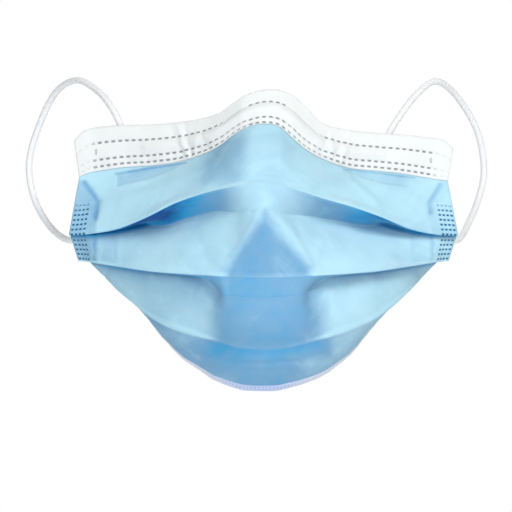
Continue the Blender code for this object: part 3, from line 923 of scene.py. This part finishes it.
def web_normal(tree, uv, strength):
    """Low relief of the pressed points and loose fibres of spunbond cloth."""
    points = add(tree, "ShaderNodeTexVoronoi", {"Vector": uv, "Scale": 1 / POINT_PITCH, "Randomness": 0.25})
    dots = mapped(tree, points.outputs["Distance"], 0.12, 0.34)
    fibres = noise(tree, uv, FIBRE_SIZE, 4.0, Distortion=1.6)
    height = maths(tree, "ADD", maths(tree, "MULTIPLY", dots, 0.5), fibres)
    inputs = {"Height": height, "Strength": strength, "Distance": WEB_RELIEF}
    return add(tree, "ShaderNodeBump", inputs).outputs["Normal"]


def welded_normal(tree, welds, normal):
    """A normal that sinks where the welds of a mask are pressed in."""
    inputs = {"Height": welds, "Normal": normal, "Strength": 0.8, "Distance": WELD_RELIEF}
    return add(tree, "ShaderNodeBump", inputs, invert=True).outputs["Normal"]


def weld_dots(tree):
    """Mask of the square weld dots along both side edges, from the weld UV map in metres."""
    inward, up = parts_of(tree, uv_map(tree, "weld"))
    across = repeated(tree, inward, DOT_PITCH_ACROSS, DOT_HALF_ACROSS)
    along = repeated(tree, up, DOT_PITCH_ALONG, DOT_HALF_ALONG)
    first = maths(tree, "GREATER_THAN", inward, 0.0)
    last = maths(tree, "LESS_THAN", inward, DOT_COLUMNS * DOT_PITCH_ACROSS)
    return product(tree, across, along, first, last, mapped(tree, up, *DOT_FADE))


# Places of the four blues on the ramp, from lit cloth to the painted shade at the bottom of a fold, and the
# drift and the pale patches of lit cloth
BLUE_PLACES = (0.0, 0.32, 0.68, 1.0)
DRIFT_SIZE = 18 * MM
PALE_SIZE = 9 * MM
PALE_MOST = 0.45


# Spunbond polypropylene, melted fibres laid and pressed to a web: matte and faintly mottled, with shade
# painted into its blue by the tone, from the lit blue to the deepest blue in the folds, and a little painted
# light. The pressed points are 0.7 mm apart on real cloth and are drawn 1.4 mm apart, because finer ones
# wouldn't show.
def blue_cloth(settings):
    made, tree, shader = new_material("blue_spunbond_polypropylene", *WEB_FINISH)
    uv = uv_map(tree, "cloth")
    tone = tone_input(tree)
    mottle = noise(tree, uv, DRIFT_SIZE, 5.0, Roughness=0.6)
    drift = mapped(tree, mottle, 0.3, 0.7, -settings.mottle, settings.mottle)
    # The ramp paints shade into the blue by the tone, from the lit blue to the deepest painted shade
    ramp = add(tree, "ShaderNodeValToRGB", {"Fac": maths(tree, "ADD", tone, drift)})
    blues = (settings.lit_colour, settings.half_shade_colour, settings.fold_shade_colour, settings.deep_shade_colour)
    while len(ramp.color_ramp.elements) < len(blues):
        ramp.color_ramp.elements.new(0.5)
    for element, place, blue in zip(ramp.color_ramp.elements, BLUE_PLACES, blues):
        element.position = place
        element.color = blue
    pale = mapped(tree, noise(tree, uv, PALE_SIZE, 3.0), 0.5, 0.75, 0.0, PALE_MOST)
    # The pale patches show only where no shade is painted
    pale_where_lit = maths(tree, "MULTIPLY", pale, mapped(tree, tone, 0.35, 0.05))
    cloth = mixed(tree, pale_where_lit, ramp.outputs["Color"], settings.pale_colour)
    dots = weld_dots(tree)
    tree.links.new(mixed(tree, dots, cloth, settings.weld_colour), shader.inputs["Base Color"])
    tree.links.new(welded_normal(tree, dots, web_normal(tree, uv, BLUE_WEB_STRENGTH)), shader.inputs["Normal"])
    return made


def weld_dashes(tree, settings):
    """Mask of the weld dashes and end ticks, from the weld UV map: metres along, and share of the band.

    The tone of the band says how strongly it is welded, because the rows fade towards its ends.
    """
    along, down = parts_of(tree, uv_map(tree, "weld"))
    half = settings.dash_height / 2
    rows = [in_band(tree, down, share, half / BAND_HEIGHT) for share in DASH_ROWS]
    any_row = rows[0]
    for row in rows[1:]:
        any_row = maths(tree, "MAXIMUM", any_row, row)
    dash = repeated(tree, along, settings.dash_pitch, DASH_SHARE / 2)
    dashes = product(tree, dash, any_row, tone_input(tree))
    place = add(tree, "ShaderNodeTexCoord").outputs["Object"]
    end = in_band(tree, maths(tree, "ABSOLUTE", parts_of(tree, place)[0]), END_TICK, half)
    middle = in_band(tree, down, END_TICK_SHARE, END_TICK_LENGTH / 2 / BAND_HEIGHT)
    return maths(tree, "MAXIMUM", dashes, product(tree, end, middle, END_TICK_STRENGTH))


def white_web(name, plain, bright):
    """A white spunbond web's material, with its tree, shader, colour and normal."""
    made, tree, shader = new_material(name, *WEB_FINISH)
    uv = uv_map(tree, "cloth")
    cloth = mixed(tree, noise(tree, uv, MOTTLE_SIZE, 5.0), plain, bright)
    return made, tree, shader, cloth, web_normal(tree, uv, WHITE_WEB_STRENGTH)


def hem_dots(tree):
    """Mask of the hem's two rows of small welds, from the weld UV map: metres along and from the edge."""
    along, up = parts_of(tree, uv_map(tree, "weld"))
    rows = [in_band(tree, up, place, HEM_DOT_HEIGHT / 2) for place in HEM_DOT_ROWS]
    near_chin = mapped(tree, tone_input(tree), 0.45, 0.75, 0.0, 0.75)
    dot = repeated(tree, along, HEM_DOT_PITCH, HEM_DOT_HALF)
    return product(tree, dot, maths(tree, "MAXIMUM", *rows), near_chin)


# White spunbond polypropylene lining: soft, matte and faintly fibrous, and a cool lilac at the hem, painted
# there as the reflection and shade of the blue cloth on the leaf that is turned over it, deepest at the middle
# of the chin.
def lining_cloth(settings):
    made, tree, shader, cloth, normal = white_web(
        "white_spunbond_lining", settings.lining_colour, settings.lining_bright)
    # Painted reflection and shade of the blue cloth on the hem, as strong as the tone
    hem = mixed(tree, tone_input(tree), cloth, settings.hem_reflection_colour)
    tree.links.new(mixed(tree, hem_dots(tree), hem, settings.half_shade_colour), shader.inputs["Base Color"])
    tree.links.new(normal, shader.inputs["Normal"])
    return made


# White spunbond polypropylene band, welded by sound in rows of short dashes: matte, with grey dashes where
# the web is pressed clear and lets what is behind it show.
def band_cloth(settings):
    made, tree, shader, cloth, normal = white_web("white_spunbond_band", settings.colour, settings.bright)
    dashes = weld_dashes(tree, settings)
    tree.links.new(mixed(tree, dashes, cloth, settings.weld_colour), shader.inputs["Base Color"])
    tree.links.new(welded_normal(tree, dashes, normal), shader.inputs["Normal"])
    return made


# Knitted elastic of white polyamide yarn over elastane: matte and soft. Its slanted ribs are in the mesh. The
# yarn is 0.3 mm on the real cord, and the ribs are drawn at the setting's pitch, because finer ones wouldn't
# show.
def knitted_elastic(settings):
    made, _, shader = new_material("knitted_white_elastic", 0.9, 0.15)
    shader.inputs["Base Color"].default_value = settings.colour
    return made


# Flat steel wire extruded into a polyethylene coat: smooth, white and slightly glossy. The band hides it.
def coated_wire(settings):
    made, _, shader = new_material("polyethylene_coated_wire", 0.4, 0.0)
    shader.inputs["Base Color"].default_value = settings.colour
    return made


def finish_piece(piece, look, slot, *nodes):
    """Give a piece its material and its body, and hide the nodes that it stands for; its slot is not used."""
    if not piece.data.polygons:
        raise RuntimeError(piece.name + " has no faces")
    piece.data.materials.append(look)
    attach(piece, "root")
    if nodes:
        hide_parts(*nodes)
    return piece


def make_outer_cloth(settings):
    """The pleated blue cloth, with the maps of its web and of its weld dots."""
    grid, stations = worn_grid(OUTER_COLUMNS)
    down = distances(grid, 1)
    along = distances(grid, 0)
    edge = np.minimum(along, along[-1:, :] - along)
    above_lip1 = down[:, ROW_LIP1 + 1][:, None] - down
    above_lip2 = down[:, ROW_LIP2 + 1][:, None] - down
    upper = np.arange(grid.shape[1])[None, :] <= ROW_LIP1 + HALF_FOLD
    lower_dots = np.maximum(above_lip2, 0) % (LOWER_DOT_ROWS * DOT_PITCH_ALONG)
    height = np.where(upper, above_lip1 - DOTS_ABOVE_LIP, lower_dots)
    maps = {"cloth": np.stack([along, down], axis=-1),
            "weld": np.stack([edge - DOT_INSET, height], axis=-1)}
    # The tone of the cloth's points carries its painted shade and painted light
    piece = sheet_mesh("outer_cloth", grid, settings.wall, maps, shade_and_seam_blue_of(grid, stations))
    finish_piece(piece, blue_cloth(settings), "outer_ply", "outer_ply")
    return piece


def lining_grid(settings):
    """The lining follows every pleat one ply behind, and runs up behind the band and round the hem."""
    outer, stations = worn_grid(LINING_COLUMNS)
    step_back = np.array([PLY_STEP * pressed(float(station)) for station in stations])[:, None, None]
    behind = outer - normals_of(outer) * step_back
    crest = edge_line("top", stations) - np.array([0, 0, LINING_BELOW_CREST])
    upper = blend(crest, behind[:, 0], np.linspace(0, 1, 16)[:-1])
    last = behind[:, -1]
    down = last - behind[:, -2]
    down /= np.linalg.norm(down, axis=1, keepdims=True)
    out = normals_of(outer)[:, -1]
    side = np.abs(stations)[:, None]
    flap = settings.hem_side + (settings.hem_centre - settings.hem_side) * (1 - smooth(side, 0.10, 0.52))
    wrap = []
    for step in range(TURN_STEPS + 1):
        turn = math.pi * step / TURN_STEPS
        wrap.append(last + out * PLY_STEP * 0.83 * (1 - math.cos(turn))
                    + down * (HEM_BELOW_CLOTH + 0.6 * PLY_STEP * math.sin(turn)))
    turned = wrap[-1]
    for step in range(1, FLAP_ROWS + 1):
        press = PLY_STEP * 0.55 * smooth(step, 3, FLAP_ROWS)
        wrap.append(turned - down * flap * step / FLAP_ROWS - out * press)
    wrap = np.stack(wrap, axis=1)
    return np.concatenate([upper, behind, wrap], axis=1), stations


def make_lining(settings):
    """The white lining, with the map of the hem's small welds."""
    grid, stations = lining_grid(settings)
    down = distances(grid, 1)
    along = distances(grid, 0)
    rows = grid.shape[1]
    turned_rows = TURN_STEPS + 1 + FLAP_ROWS
    hem = smooth(np.arange(rows), rows - turned_rows - 1, rows - turned_rows + 3)[None, :]
    # The hem's painted reflection and shade are deepest at the middle of the chin
    centre = 0.22 + 0.68 * bump_at(stations[:, None], -0.02, 0.28)
    maps = {"cloth": np.stack([along, down], axis=-1),
            "weld": np.stack([along, down[:, -1:] - down], axis=-1)}
    piece = sheet_mesh("lining", grid, thin_edge(rows, settings.wall, False), maps, hem * centre)
    finish_piece(piece, lining_cloth(settings), "inner_ply", "inner_ply")
    return piece


# Puckers of the band beside the nose: station, width in stations, slant, depth in mm
PUCKERS = (
    (-0.455, 0.013, 1.3, -0.30),
    (-0.425, 0.012, 0.9, 0.55),
    (-0.398, 0.010, 0.5, -0.50),
    (-0.350, 0.016, -0.5, 0.45),
    (-0.318, 0.012, 1.0, -0.35),
    (0.285, 0.014, -1.0, 0.35),
    (0.322, 0.011, -0.6, -0.45),
    (0.352, 0.015, 0.5, 0.55),
    (0.396, 0.012, -1.2, -0.40),
    (0.428, 0.013, -0.8, 0.45),
    (0.462, 0.016, -1.4, -0.25),
    (-0.110, 0.020, 0.3, 0.25),
    (0.150, 0.022, -0.3, 0.25),
)


def band_grid(settings):
    """The band's front leaf from its lower edge to the crest, the fold, and a short back leaf."""
    stations = stations_of(BAND_COLUMNS)
    band = edge_line("band", stations)
    crest = edge_line("top", stations) - np.array([0, 0, CLOTH_WALL / 2])
    normal = normals_of(np.stack([crest, band], axis=1))
    front_top = crest + normal[:, 0] * LEAF_GAP - np.array([0, 0, PLY_STEP])
    front_low = band + normal[:, 1] * PLY_STEP * 0.75
    shares = np.linspace(0, 1, BAND_ROWS)
    front = blend(front_low, front_top, shares)
    height = 1 - shares[None, :]
    wire = bump_at(height, 0.5 * sum(WIRE_SHARES), 0.14)
    reach = 1 / (1 + np.exp((np.abs(stations) - WIRE_REACH) / 0.01))
    lift = settings.wire_rise * wire * reach[:, None]
    for place, width, slant, depth in PUCKERS:
        centre = place + slant * 0.06 * (height - 0.5)
        pucker = depth * MM * bump_at(stations[:, None], centre, width) * (0.35 + 0.65 * height)
        lift = lift + settings.puckers * pucker
    for share in DASH_ROWS:
        lift = lift - WELD_DIP * bump_at(height, share, 0.035)
    waves = 0.22 * np.sin(2 * math.pi * 3.1 * stations)[:, None] + 0.12 * np.sin(
        2 * math.pi * 7.3 * stations + 1.0)[:, None] * height
    lift = lift + MM * waves * np.minimum(height * 3, 1)
    lift = lift * smooth(1 - height, 0.0, 0.12)
    side = normal[:, 1][:, None]
    front = front + side * lift[..., None]
    fold_rows = []
    for step in range(1, TURN_STEPS):
        turn = math.pi * step / TURN_STEPS
        swing = side[:, 0] * LEAF_GAP * (math.cos(turn) - 1)
        fold_rows.append(front[:, -1] + swing + np.array([0, 0, LEAF_GAP * math.sin(turn)]))
    last = front[:, -1] - side[:, 0] * LEAF_GAP * 2
    back = [last + (band - crest) * BACK_LEAF * step / 9 for step in range(10)]
    return np.concatenate([front, np.stack(fold_rows + back, axis=1)], axis=1), stations


def make_band(settings):
    """The white band, with the map of its dashes, some of which are pressed too lightly to show."""
    grid, stations = band_grid(settings)
    along = distances(grid, 0)
    middle = along[:, BAND_ROWS // 2]
    middle = middle - middle[len(middle) // 2]
    total = grid.shape[1]
    share = np.full((len(stations), total), NO_DASHES)
    share[:, :BAND_ROWS] = 1 - np.linspace(0, 1, BAND_ROWS)[None, :]
    share -= 0.055 * bump_at(stations[:, None], 0.0, 0.26) * smooth(share, 0.4, 0.7)
    across = grid[..., 0]
    welded = 1 - 0.85 * smooth(np.abs(across), 66 * MM, 70 * MM)
    missing = smooth(across, -18 * MM, -15 * MM) * (1 - smooth(across, -7.5 * MM, -5.5 * MM))
    missing += smooth(across, 8 * MM, 10 * MM) * (1 - smooth(across, 22 * MM, 25 * MM))
    welded *= 1 - missing * np.where(share < 0.55, 0.92, 0.30)
    weld = np.stack([np.repeat(middle[:, None], total, axis=1) + 0.5, share], axis=-1)
    maps = {"cloth": np.stack([along, distances(grid, 1)], axis=-1), "weld": weld}
    piece = sheet_mesh("white_band", grid, thin_edge(total, CLOTH_WALL, True), maps, welded)
    finish_piece(piece, band_cloth(settings), "inner_ply", "inner_ply")
    return piece


def make_wire(settings):
    """The flat wire between the band's leaves."""
    stations = np.linspace(-WIRE_REACH, WIRE_REACH, WIRE_COLUMNS)
    grid = blend(edge_line("top", stations), edge_line("band", stations), np.linspace(*WIRE_SHARES, 5))
    cloth = np.stack([distances(grid, 0), distances(grid, 1)], axis=-1)
    piece = sheet_mesh("bendable_wire", grid, settings.wall, {"cloth": cloth})
    return finish_piece(piece, coated_wire(settings), "nose_wire", "nose_wire")


def smooth_route(route, count):
    """Evenly spaced points along a smooth curve through the route's own points."""
    places = np.array(route)
    places = np.vstack([2 * places[0] - places[1], places, 2 * places[-1] - places[-2]])
    fine = []
    for index in range(1, len(places) - 2):
        before, start, end, after = places[index - 1:index + 3]
        for share in np.linspace(0, 1, 24, endpoint=False):
            fine.append(0.5 * (
                2 * start
                + (end - before) * share
                + (2 * before - 5 * start + 4 * end - after) * share ** 2
                + (3 * start - before - 3 * end + after) * share ** 3
            ))
    fine.append(places[-2])
    fine = np.array(fine)
    lengths = np.concatenate([[0], np.cumsum(np.linalg.norm(np.diff(fine, axis=0), axis=1))])
    targets = np.linspace(0, lengths[-1], count)
    points = np.stack([np.interp(targets, lengths, fine[:, axis]) for axis in range(3)], axis=1)
    return points, lengths[-1]


def tube_mesh(name, points, diameter, rib_pitch):
    """A round cord with closed ends, ribbed as knitted elastic is."""
    tangents = np.gradient(points, axis=0)
    tangents /= np.linalg.norm(tangents, axis=1, keepdims=True)
    side = np.cross(tangents[0], (0.0, 0.0, 1.0))
    side /= np.linalg.norm(side)
    angles = np.linspace(0, 2 * math.pi, LOOP_SIDES, endpoint=False)
    spacing = np.linalg.norm(points[1] - points[0])
    rings = []
    for step, (point, tangent) in enumerate(zip(points, tangents)):
        side = side - tangent * (side @ tangent)
        side /= np.linalg.norm(side)
        other = np.cross(tangent, side)
        twist = 2 * math.pi * step * spacing / rib_pitch
        radius = diameter / 2 * (1 + LOOP_RIB_SHARE * np.sin(LOOP_RIBS * angles + twist))
        across = np.outer(np.cos(angles) * radius, side)
        rings.append(point + across + np.outer(np.sin(angles) * radius, other))
    count = len(points)
    faces = []
    for ring in range(count - 1):
        for index in range(LOOP_SIDES):
            after = (index + 1) % LOOP_SIDES
            corner = ring * LOOP_SIDES
            faces.append((corner + index, corner + after, corner + LOOP_SIDES + after,
                          corner + LOOP_SIDES + index))
    faces.append(tuple(reversed(range(LOOP_SIDES))))
    faces.append(tuple(range((count - 1) * LOOP_SIDES, count * LOOP_SIDES)))
    mesh = bpy.data.meshes.new(name)
    mesh.from_pydata([tuple(vertex) for vertex in np.concatenate(rings)], [], faces)
    layer = mesh.uv_layers.new(name="cloth")
    for loop in mesh.loops:
        ring, index = divmod(loop.vertex_index, LOOP_SIDES)
        layer.data[loop.index].uv = (ring * spacing, index * math.pi * diameter / LOOP_SIDES)
    for polygon in mesh.polygons:
        polygon.use_smooth = len(polygon.vertices) == 4
    mesh.update()
    made = bpy.data.objects.new(name, mesh)
    bpy.context.collection.objects.link(made)
    return made


def make_loop(name, route, node, look, settings):
    """One ear loop along its route."""
    points, length = smooth_route(route + (LOOP_TACKS[name],), LOOP_RINGS)
    piece = tube_mesh(name, points, settings.diameter, settings.rib_pitch)
    finish_piece(piece, look, "ear_loop", node)
    return piece


def area_light(name, place, target, size, power, colour):
    """A round lamp that the camera doesn't see."""
    data = bpy.data.lights.new(name, "AREA")
    data.shape = "DISK"
    data.size = size
    data.energy = power
    data.color = colour
    made = bpy.data.objects.new(name, data)
    made.location = place
    made.rotation_euler = (Vector(target) - Vector(place)).to_track_quat("-Z", "Y").to_euler()
    made.visible_camera = False
    bpy.context.collection.objects.link(made)
    return made


def make_camera(distance):
    """A long lens straight in front of the mask, framed as the photo is."""
    data = bpy.data.cameras.new("photo_camera")
    data.sensor_width = SENSOR
    data.lens = SENSOR * (distance + DEPTH / 2) / FRAME_WIDTH
    data.clip_start = 0.01
    data.clip_end = 50.0
    made = bpy.data.objects.new("photo_camera", data)
    made.location = (FRAME_CENTRE[0], -distance, FRAME_CENTRE[1])
    made.rotation_euler = (math.pi / 2, 0.0, 0.0)
    bpy.context.collection.objects.link(made)
    bpy.context.scene.camera = made
    return made


# Matt white paper roll: even and without gloss, so that the floor stays plain. It is seen a little brighter
# than the lamps make it, so that it is pale to its far edge, and it lights nothing more for that.
def paper(settings):
    made, tree, shader = new_material("matt_white_paper", 0.9, 0.0)
    shader.inputs["Base Color"].default_value = settings.floor_colour
    shader.inputs["Emission Color"].default_value = settings.floor_colour
    path = add(tree, "ShaderNodeLightPath")
    seen = maths(tree, "MULTIPLY", path.outputs["Is Camera Ray"], FLOOR_GLOW)
    tree.links.new(seen, shader.inputs["Emission Strength"])
    return made


def make_floor(settings):
    """A round pale floor, well below the mask."""
    vertices = []
    for step in range(FLOOR_SIDES):
        turn = 2 * math.pi * step / FLOOR_SIDES
        vertices.append((FLOOR_RADIUS * math.cos(turn), FLOOR_RADIUS * math.sin(turn), FLOOR_HEIGHT))
    mesh = bpy.data.meshes.new("floor")
    mesh.from_pydata(vertices, [], [tuple(range(FLOOR_SIDES))])
    made = bpy.data.objects.new("floor", mesh)
    bpy.context.collection.objects.link(made)
    mesh.materials.append(paper(settings))
    return made


def make_world():
    """A soft even room, seen as white where nothing stands in front of it."""
    world = bpy.data.worlds.new("studio")
    world.use_nodes = True
    tree = world.node_tree
    room = tree.nodes["Background"]
    room.inputs["Color"].default_value = ROOM_COLOUR
    room.inputs["Strength"].default_value = ROOM_STRENGTH
    seen = add(tree, "ShaderNodeBackground", {"Color": (1.0, 1.0, 1.0, 1.0), "Strength": 1.0})
    path = add(tree, "ShaderNodeLightPath").outputs["Is Camera Ray"]
    both = add(tree, "ShaderNodeMixShader", {0: path, 1: room.outputs[0], 2: seen.outputs[0]})
    tree.links.new(both.outputs[0], tree.nodes["World Output"].inputs["Surface"])
    bpy.context.scene.world = world
    bpy.context.scene.view_settings.view_transform = "Standard"


def make_lights(settings):
    """Four soft lamps, and two that keep the floor white in front and behind."""
    for name, power, place, target, size, colour in LAMPS:
        area_light(name, place, target, size, getattr(settings, power), colour)
    for side in (-1.0, 1.0):
        area_light("floor_wash", (0.0, side * 1.7, 0.7), (0.0, side * 1.2, FLOOR_HEIGHT), 1.4,
                   FLOOR_LAMP_POWER, (1.0, 1.0, 1.0))


def colour_setting(name, description, code):
    """A colour that the user may change, with an sRGB hex code as its default."""
    return bpy.props.FloatVectorProperty(
        name=name, description=description, default=linear(code), subtype="COLOR", size=4, min=0.0, max=1.0)


def size_setting(name, description, default):
    """A small length that the user may change, in metres."""
    return bpy.props.FloatProperty(
        name=name, description=description, default=default, unit="LENGTH", precision=5, min=0.0)


def power_setting(name, description, default):
    """The power of a lamp, in watts."""
    return bpy.props.FloatProperty(name=name, description=description, default=default, unit="POWER")


class FaceMaskStageSettings(bpy.types.PropertyGroup):
    distance: size_setting("Camera distance", "How far the camera stands in front", CAMERA_DISTANCE)
    key_power: power_setting("Key power", "Power of the soft light above", 11.0)
    fill_power: power_setting("Fill power", "Power of the soft light at the left", 3.9)
    under_power: power_setting("Bounce power", "Power of the cool light from below", 1.0)
    back_power: power_setting("Back power", "Power of the soft light behind", 10.0)
    floor_colour: colour_setting("Floor colour", "Colour of the paper floor", "#FCFCFC")


class FaceMaskClothSettings(bpy.types.PropertyGroup):
    wall: size_setting("Ply wall", "Thickness of the outer cloth and of the lining", CLOTH_WALL)
    hem_centre: size_setting("Hem at the chin", "Width of the turned lining at the chin", 3.4 * MM)
    hem_side: size_setting("Hem at the sides", "Width of the turned lining at the sides", 2.4 * MM)
    mottle: bpy.props.FloatProperty(
        name="Mottle", description="How much the blue drifts over the cloth", default=0.12,
        subtype="FACTOR", min=0.0, max=0.3)
    # The lit, half shade, fold shade and deep shade blues are one blue, lit and in painted shade
    lit_colour: colour_setting("Taut blue", "Colour of the cloth where it is taut", "#ADD5E3")
    half_shade_colour: colour_setting("Slack blue", "Colour where the cloth turns away or lies slack", "#74A2C3")
    fold_shade_colour: colour_setting("Fold blue", "Colour just inside a fold", "#2F98CA")
    deep_shade_colour: colour_setting("Deep blue", "Colour at the bottom of a fold", "#004D90")
    pale_colour: colour_setting("Pale blue", "Colour of the palest patches of the taut cloth", "#C3E0EC")
    weld_colour: colour_setting("Weld blue", "Colour of the weld dots at the sides", "#1A6592")
    lining_colour: colour_setting("Lining white", "Colour of the lining", "#DADCDA")
    lining_bright: colour_setting("Lining bright white", "Colour of the lining's denser patches", "#E5E6E4")
    # The lilac is a painted reflection and shade of the blue cloth
    hem_reflection_colour: colour_setting("Hem lilac", "Colour of the lining turned over the blue hem", "#B4BFE4")


class FaceMaskBandSettings(bpy.types.PropertyGroup):
    wire_rise: size_setting("Wire rise", "How far the wire lifts the band", 0.85 * MM)
    puckers: bpy.props.FloatProperty(
        name="Puckers", description="Strength of the puckers beside the nose", default=1.0,
        subtype="FACTOR", min=0.0, max=2.0)
    dash_pitch: size_setting("Dash pitch", "Distance between weld dashes of a row", 2.85 * MM)
    dash_height: size_setting("Dash height", "Height of a weld dash", 0.85 * MM)
    colour: colour_setting("Band white", "Colour of the band", "#D8DAD8")
    bright: colour_setting("Band bright white", "Colour of the band's denser patches", "#E3E4E2")
    weld_colour: colour_setting("Weld grey", "Colour of the weld dashes", "#8E9294")


class FaceMaskWireSettings(bpy.types.PropertyGroup):
    wall: size_setting("Wire thickness", "Thickness of the flat wire with its coat", 0.5 * MM)
    colour: colour_setting("Wire colour", "Colour of the wire's coat", "#E6E6E4")


class FaceMaskLoopSettings(bpy.types.PropertyGroup):
    diameter: size_setting("Loop diameter", "Diameter of the elastic cord", 2.7 * MM)
    rib_pitch: size_setting("Rib pitch", "Distance between the ribs of the knitted cord", 3.0 * MM)
    colour: colour_setting("Loop white", "Colour of the elastic", "#E6E6E6")


class FACEMASK_OT_stage(bpy.types.Operator):
    """Make the camera, the pale floor and the soft lights"""

    bl_idname = "facemask.stage"
    bl_label = "Stage"

    def execute(self, context):
        settings = context.scene.face_mask_stage
        make_camera(settings.distance)
        make_floor(settings)
        make_world()
        make_lights(settings)
        return {"FINISHED"}


class FACEMASK_OT_ear_loops(bpy.types.Operator):
    """Make the two elastic ear loops"""

    bl_idname = "facemask.ear_loops"
    bl_label = "Ear loops"

    def execute(self, context):
        settings = context.scene.face_mask_loops
        look = knitted_elastic(settings)
        make_loop("elastic_loop_left", LOOP_LEFT_ROUTE, "ear_loop_left", look, settings)
        make_loop("elastic_loop_right", LOOP_RIGHT_ROUTE, "ear_loop_right", look, settings)
        return {"FINISHED"}


class FACEMASK_OT_lining(bpy.types.Operator):
    """Make the white lining, turned forward over the hem"""

    bl_idname = "facemask.lining"
    bl_label = "Lining"

    def execute(self, context):
        make_lining(context.scene.face_mask_cloth)
        return {"FINISHED"}


class FACEMASK_OT_outer_cloth(bpy.types.Operator):
    """Make the pleated blue outer cloth with its welded sides"""

    bl_idname = "facemask.outer_cloth"
    bl_label = "Outer cloth"

    def execute(self, context):
        make_outer_cloth(context.scene.face_mask_cloth)
        return {"FINISHED"}


class FACEMASK_OT_band(bpy.types.Operator):
    """Make the white band over the nose with its rows of weld dashes"""

    bl_idname = "facemask.band"
    bl_label = "Band"

    def execute(self, context):
        make_band(context.scene.face_mask_band)
        return {"FINISHED"}


class FACEMASK_OT_wire(bpy.types.Operator):
    """Make the bendable wire inside the band"""

    bl_idname = "facemask.wire"
    bl_label = "Nose wire"

    def execute(self, context):
        make_wire(context.scene.face_mask_wire)
        return {"FINISHED"}


SETTINGS = {
    "face_mask_stage": FaceMaskStageSettings,
    "face_mask_cloth": FaceMaskClothSettings,
    "face_mask_band": FaceMaskBandSettings,
    "face_mask_wire": FaceMaskWireSettings,
    "face_mask_loops": FaceMaskLoopSettings,
}
OPERATORS = (
    FACEMASK_OT_stage,
    FACEMASK_OT_ear_loops,
    FACEMASK_OT_lining,
    FACEMASK_OT_outer_cloth,
    FACEMASK_OT_band,
    FACEMASK_OT_wire,
)


class FACEMASK_PT_panel(bpy.types.Panel):
    bl_label = "Face mask"
    bl_idname = "FACEMASK_PT_panel"
    bl_space_type = "VIEW_3D"
    bl_region_type = "UI"
    bl_category = "Face mask"

    def draw(self, context):
        for place in SETTINGS:
            settings = getattr(context.scene, place)
            box = self.layout.box()
            for name in settings.bl_rna.properties.keys():
                if name not in ("rna_type", "name"):
                    box.prop(settings, name)
        for operator in OPERATORS:
            self.layout.operator(operator.bl_idname)


def register():
    for made in (*SETTINGS.values(), *OPERATORS, FACEMASK_PT_panel):
        bpy.utils.register_class(made)
    for place, made in SETTINGS.items():
        setattr(bpy.types.Scene, place, bpy.props.PointerProperty(type=made))


def unregister():
    for place in SETTINGS:
        delattr(bpy.types.Scene, place)
    for made in (FACEMASK_PT_panel, *reversed(OPERATORS), *reversed(SETTINGS.values())):
        bpy.utils.unregister_class(made)


def main():
    register()
    bpy.ops.facemask.stage()
    bpy.ops.facemask.ear_loops()
    bpy.ops.facemask.lining()
    bpy.ops.facemask.outer_cloth()
    bpy.ops.facemask.band()
    bpy.ops.facemask.wire()


if __name__ == "__main__":
    main()
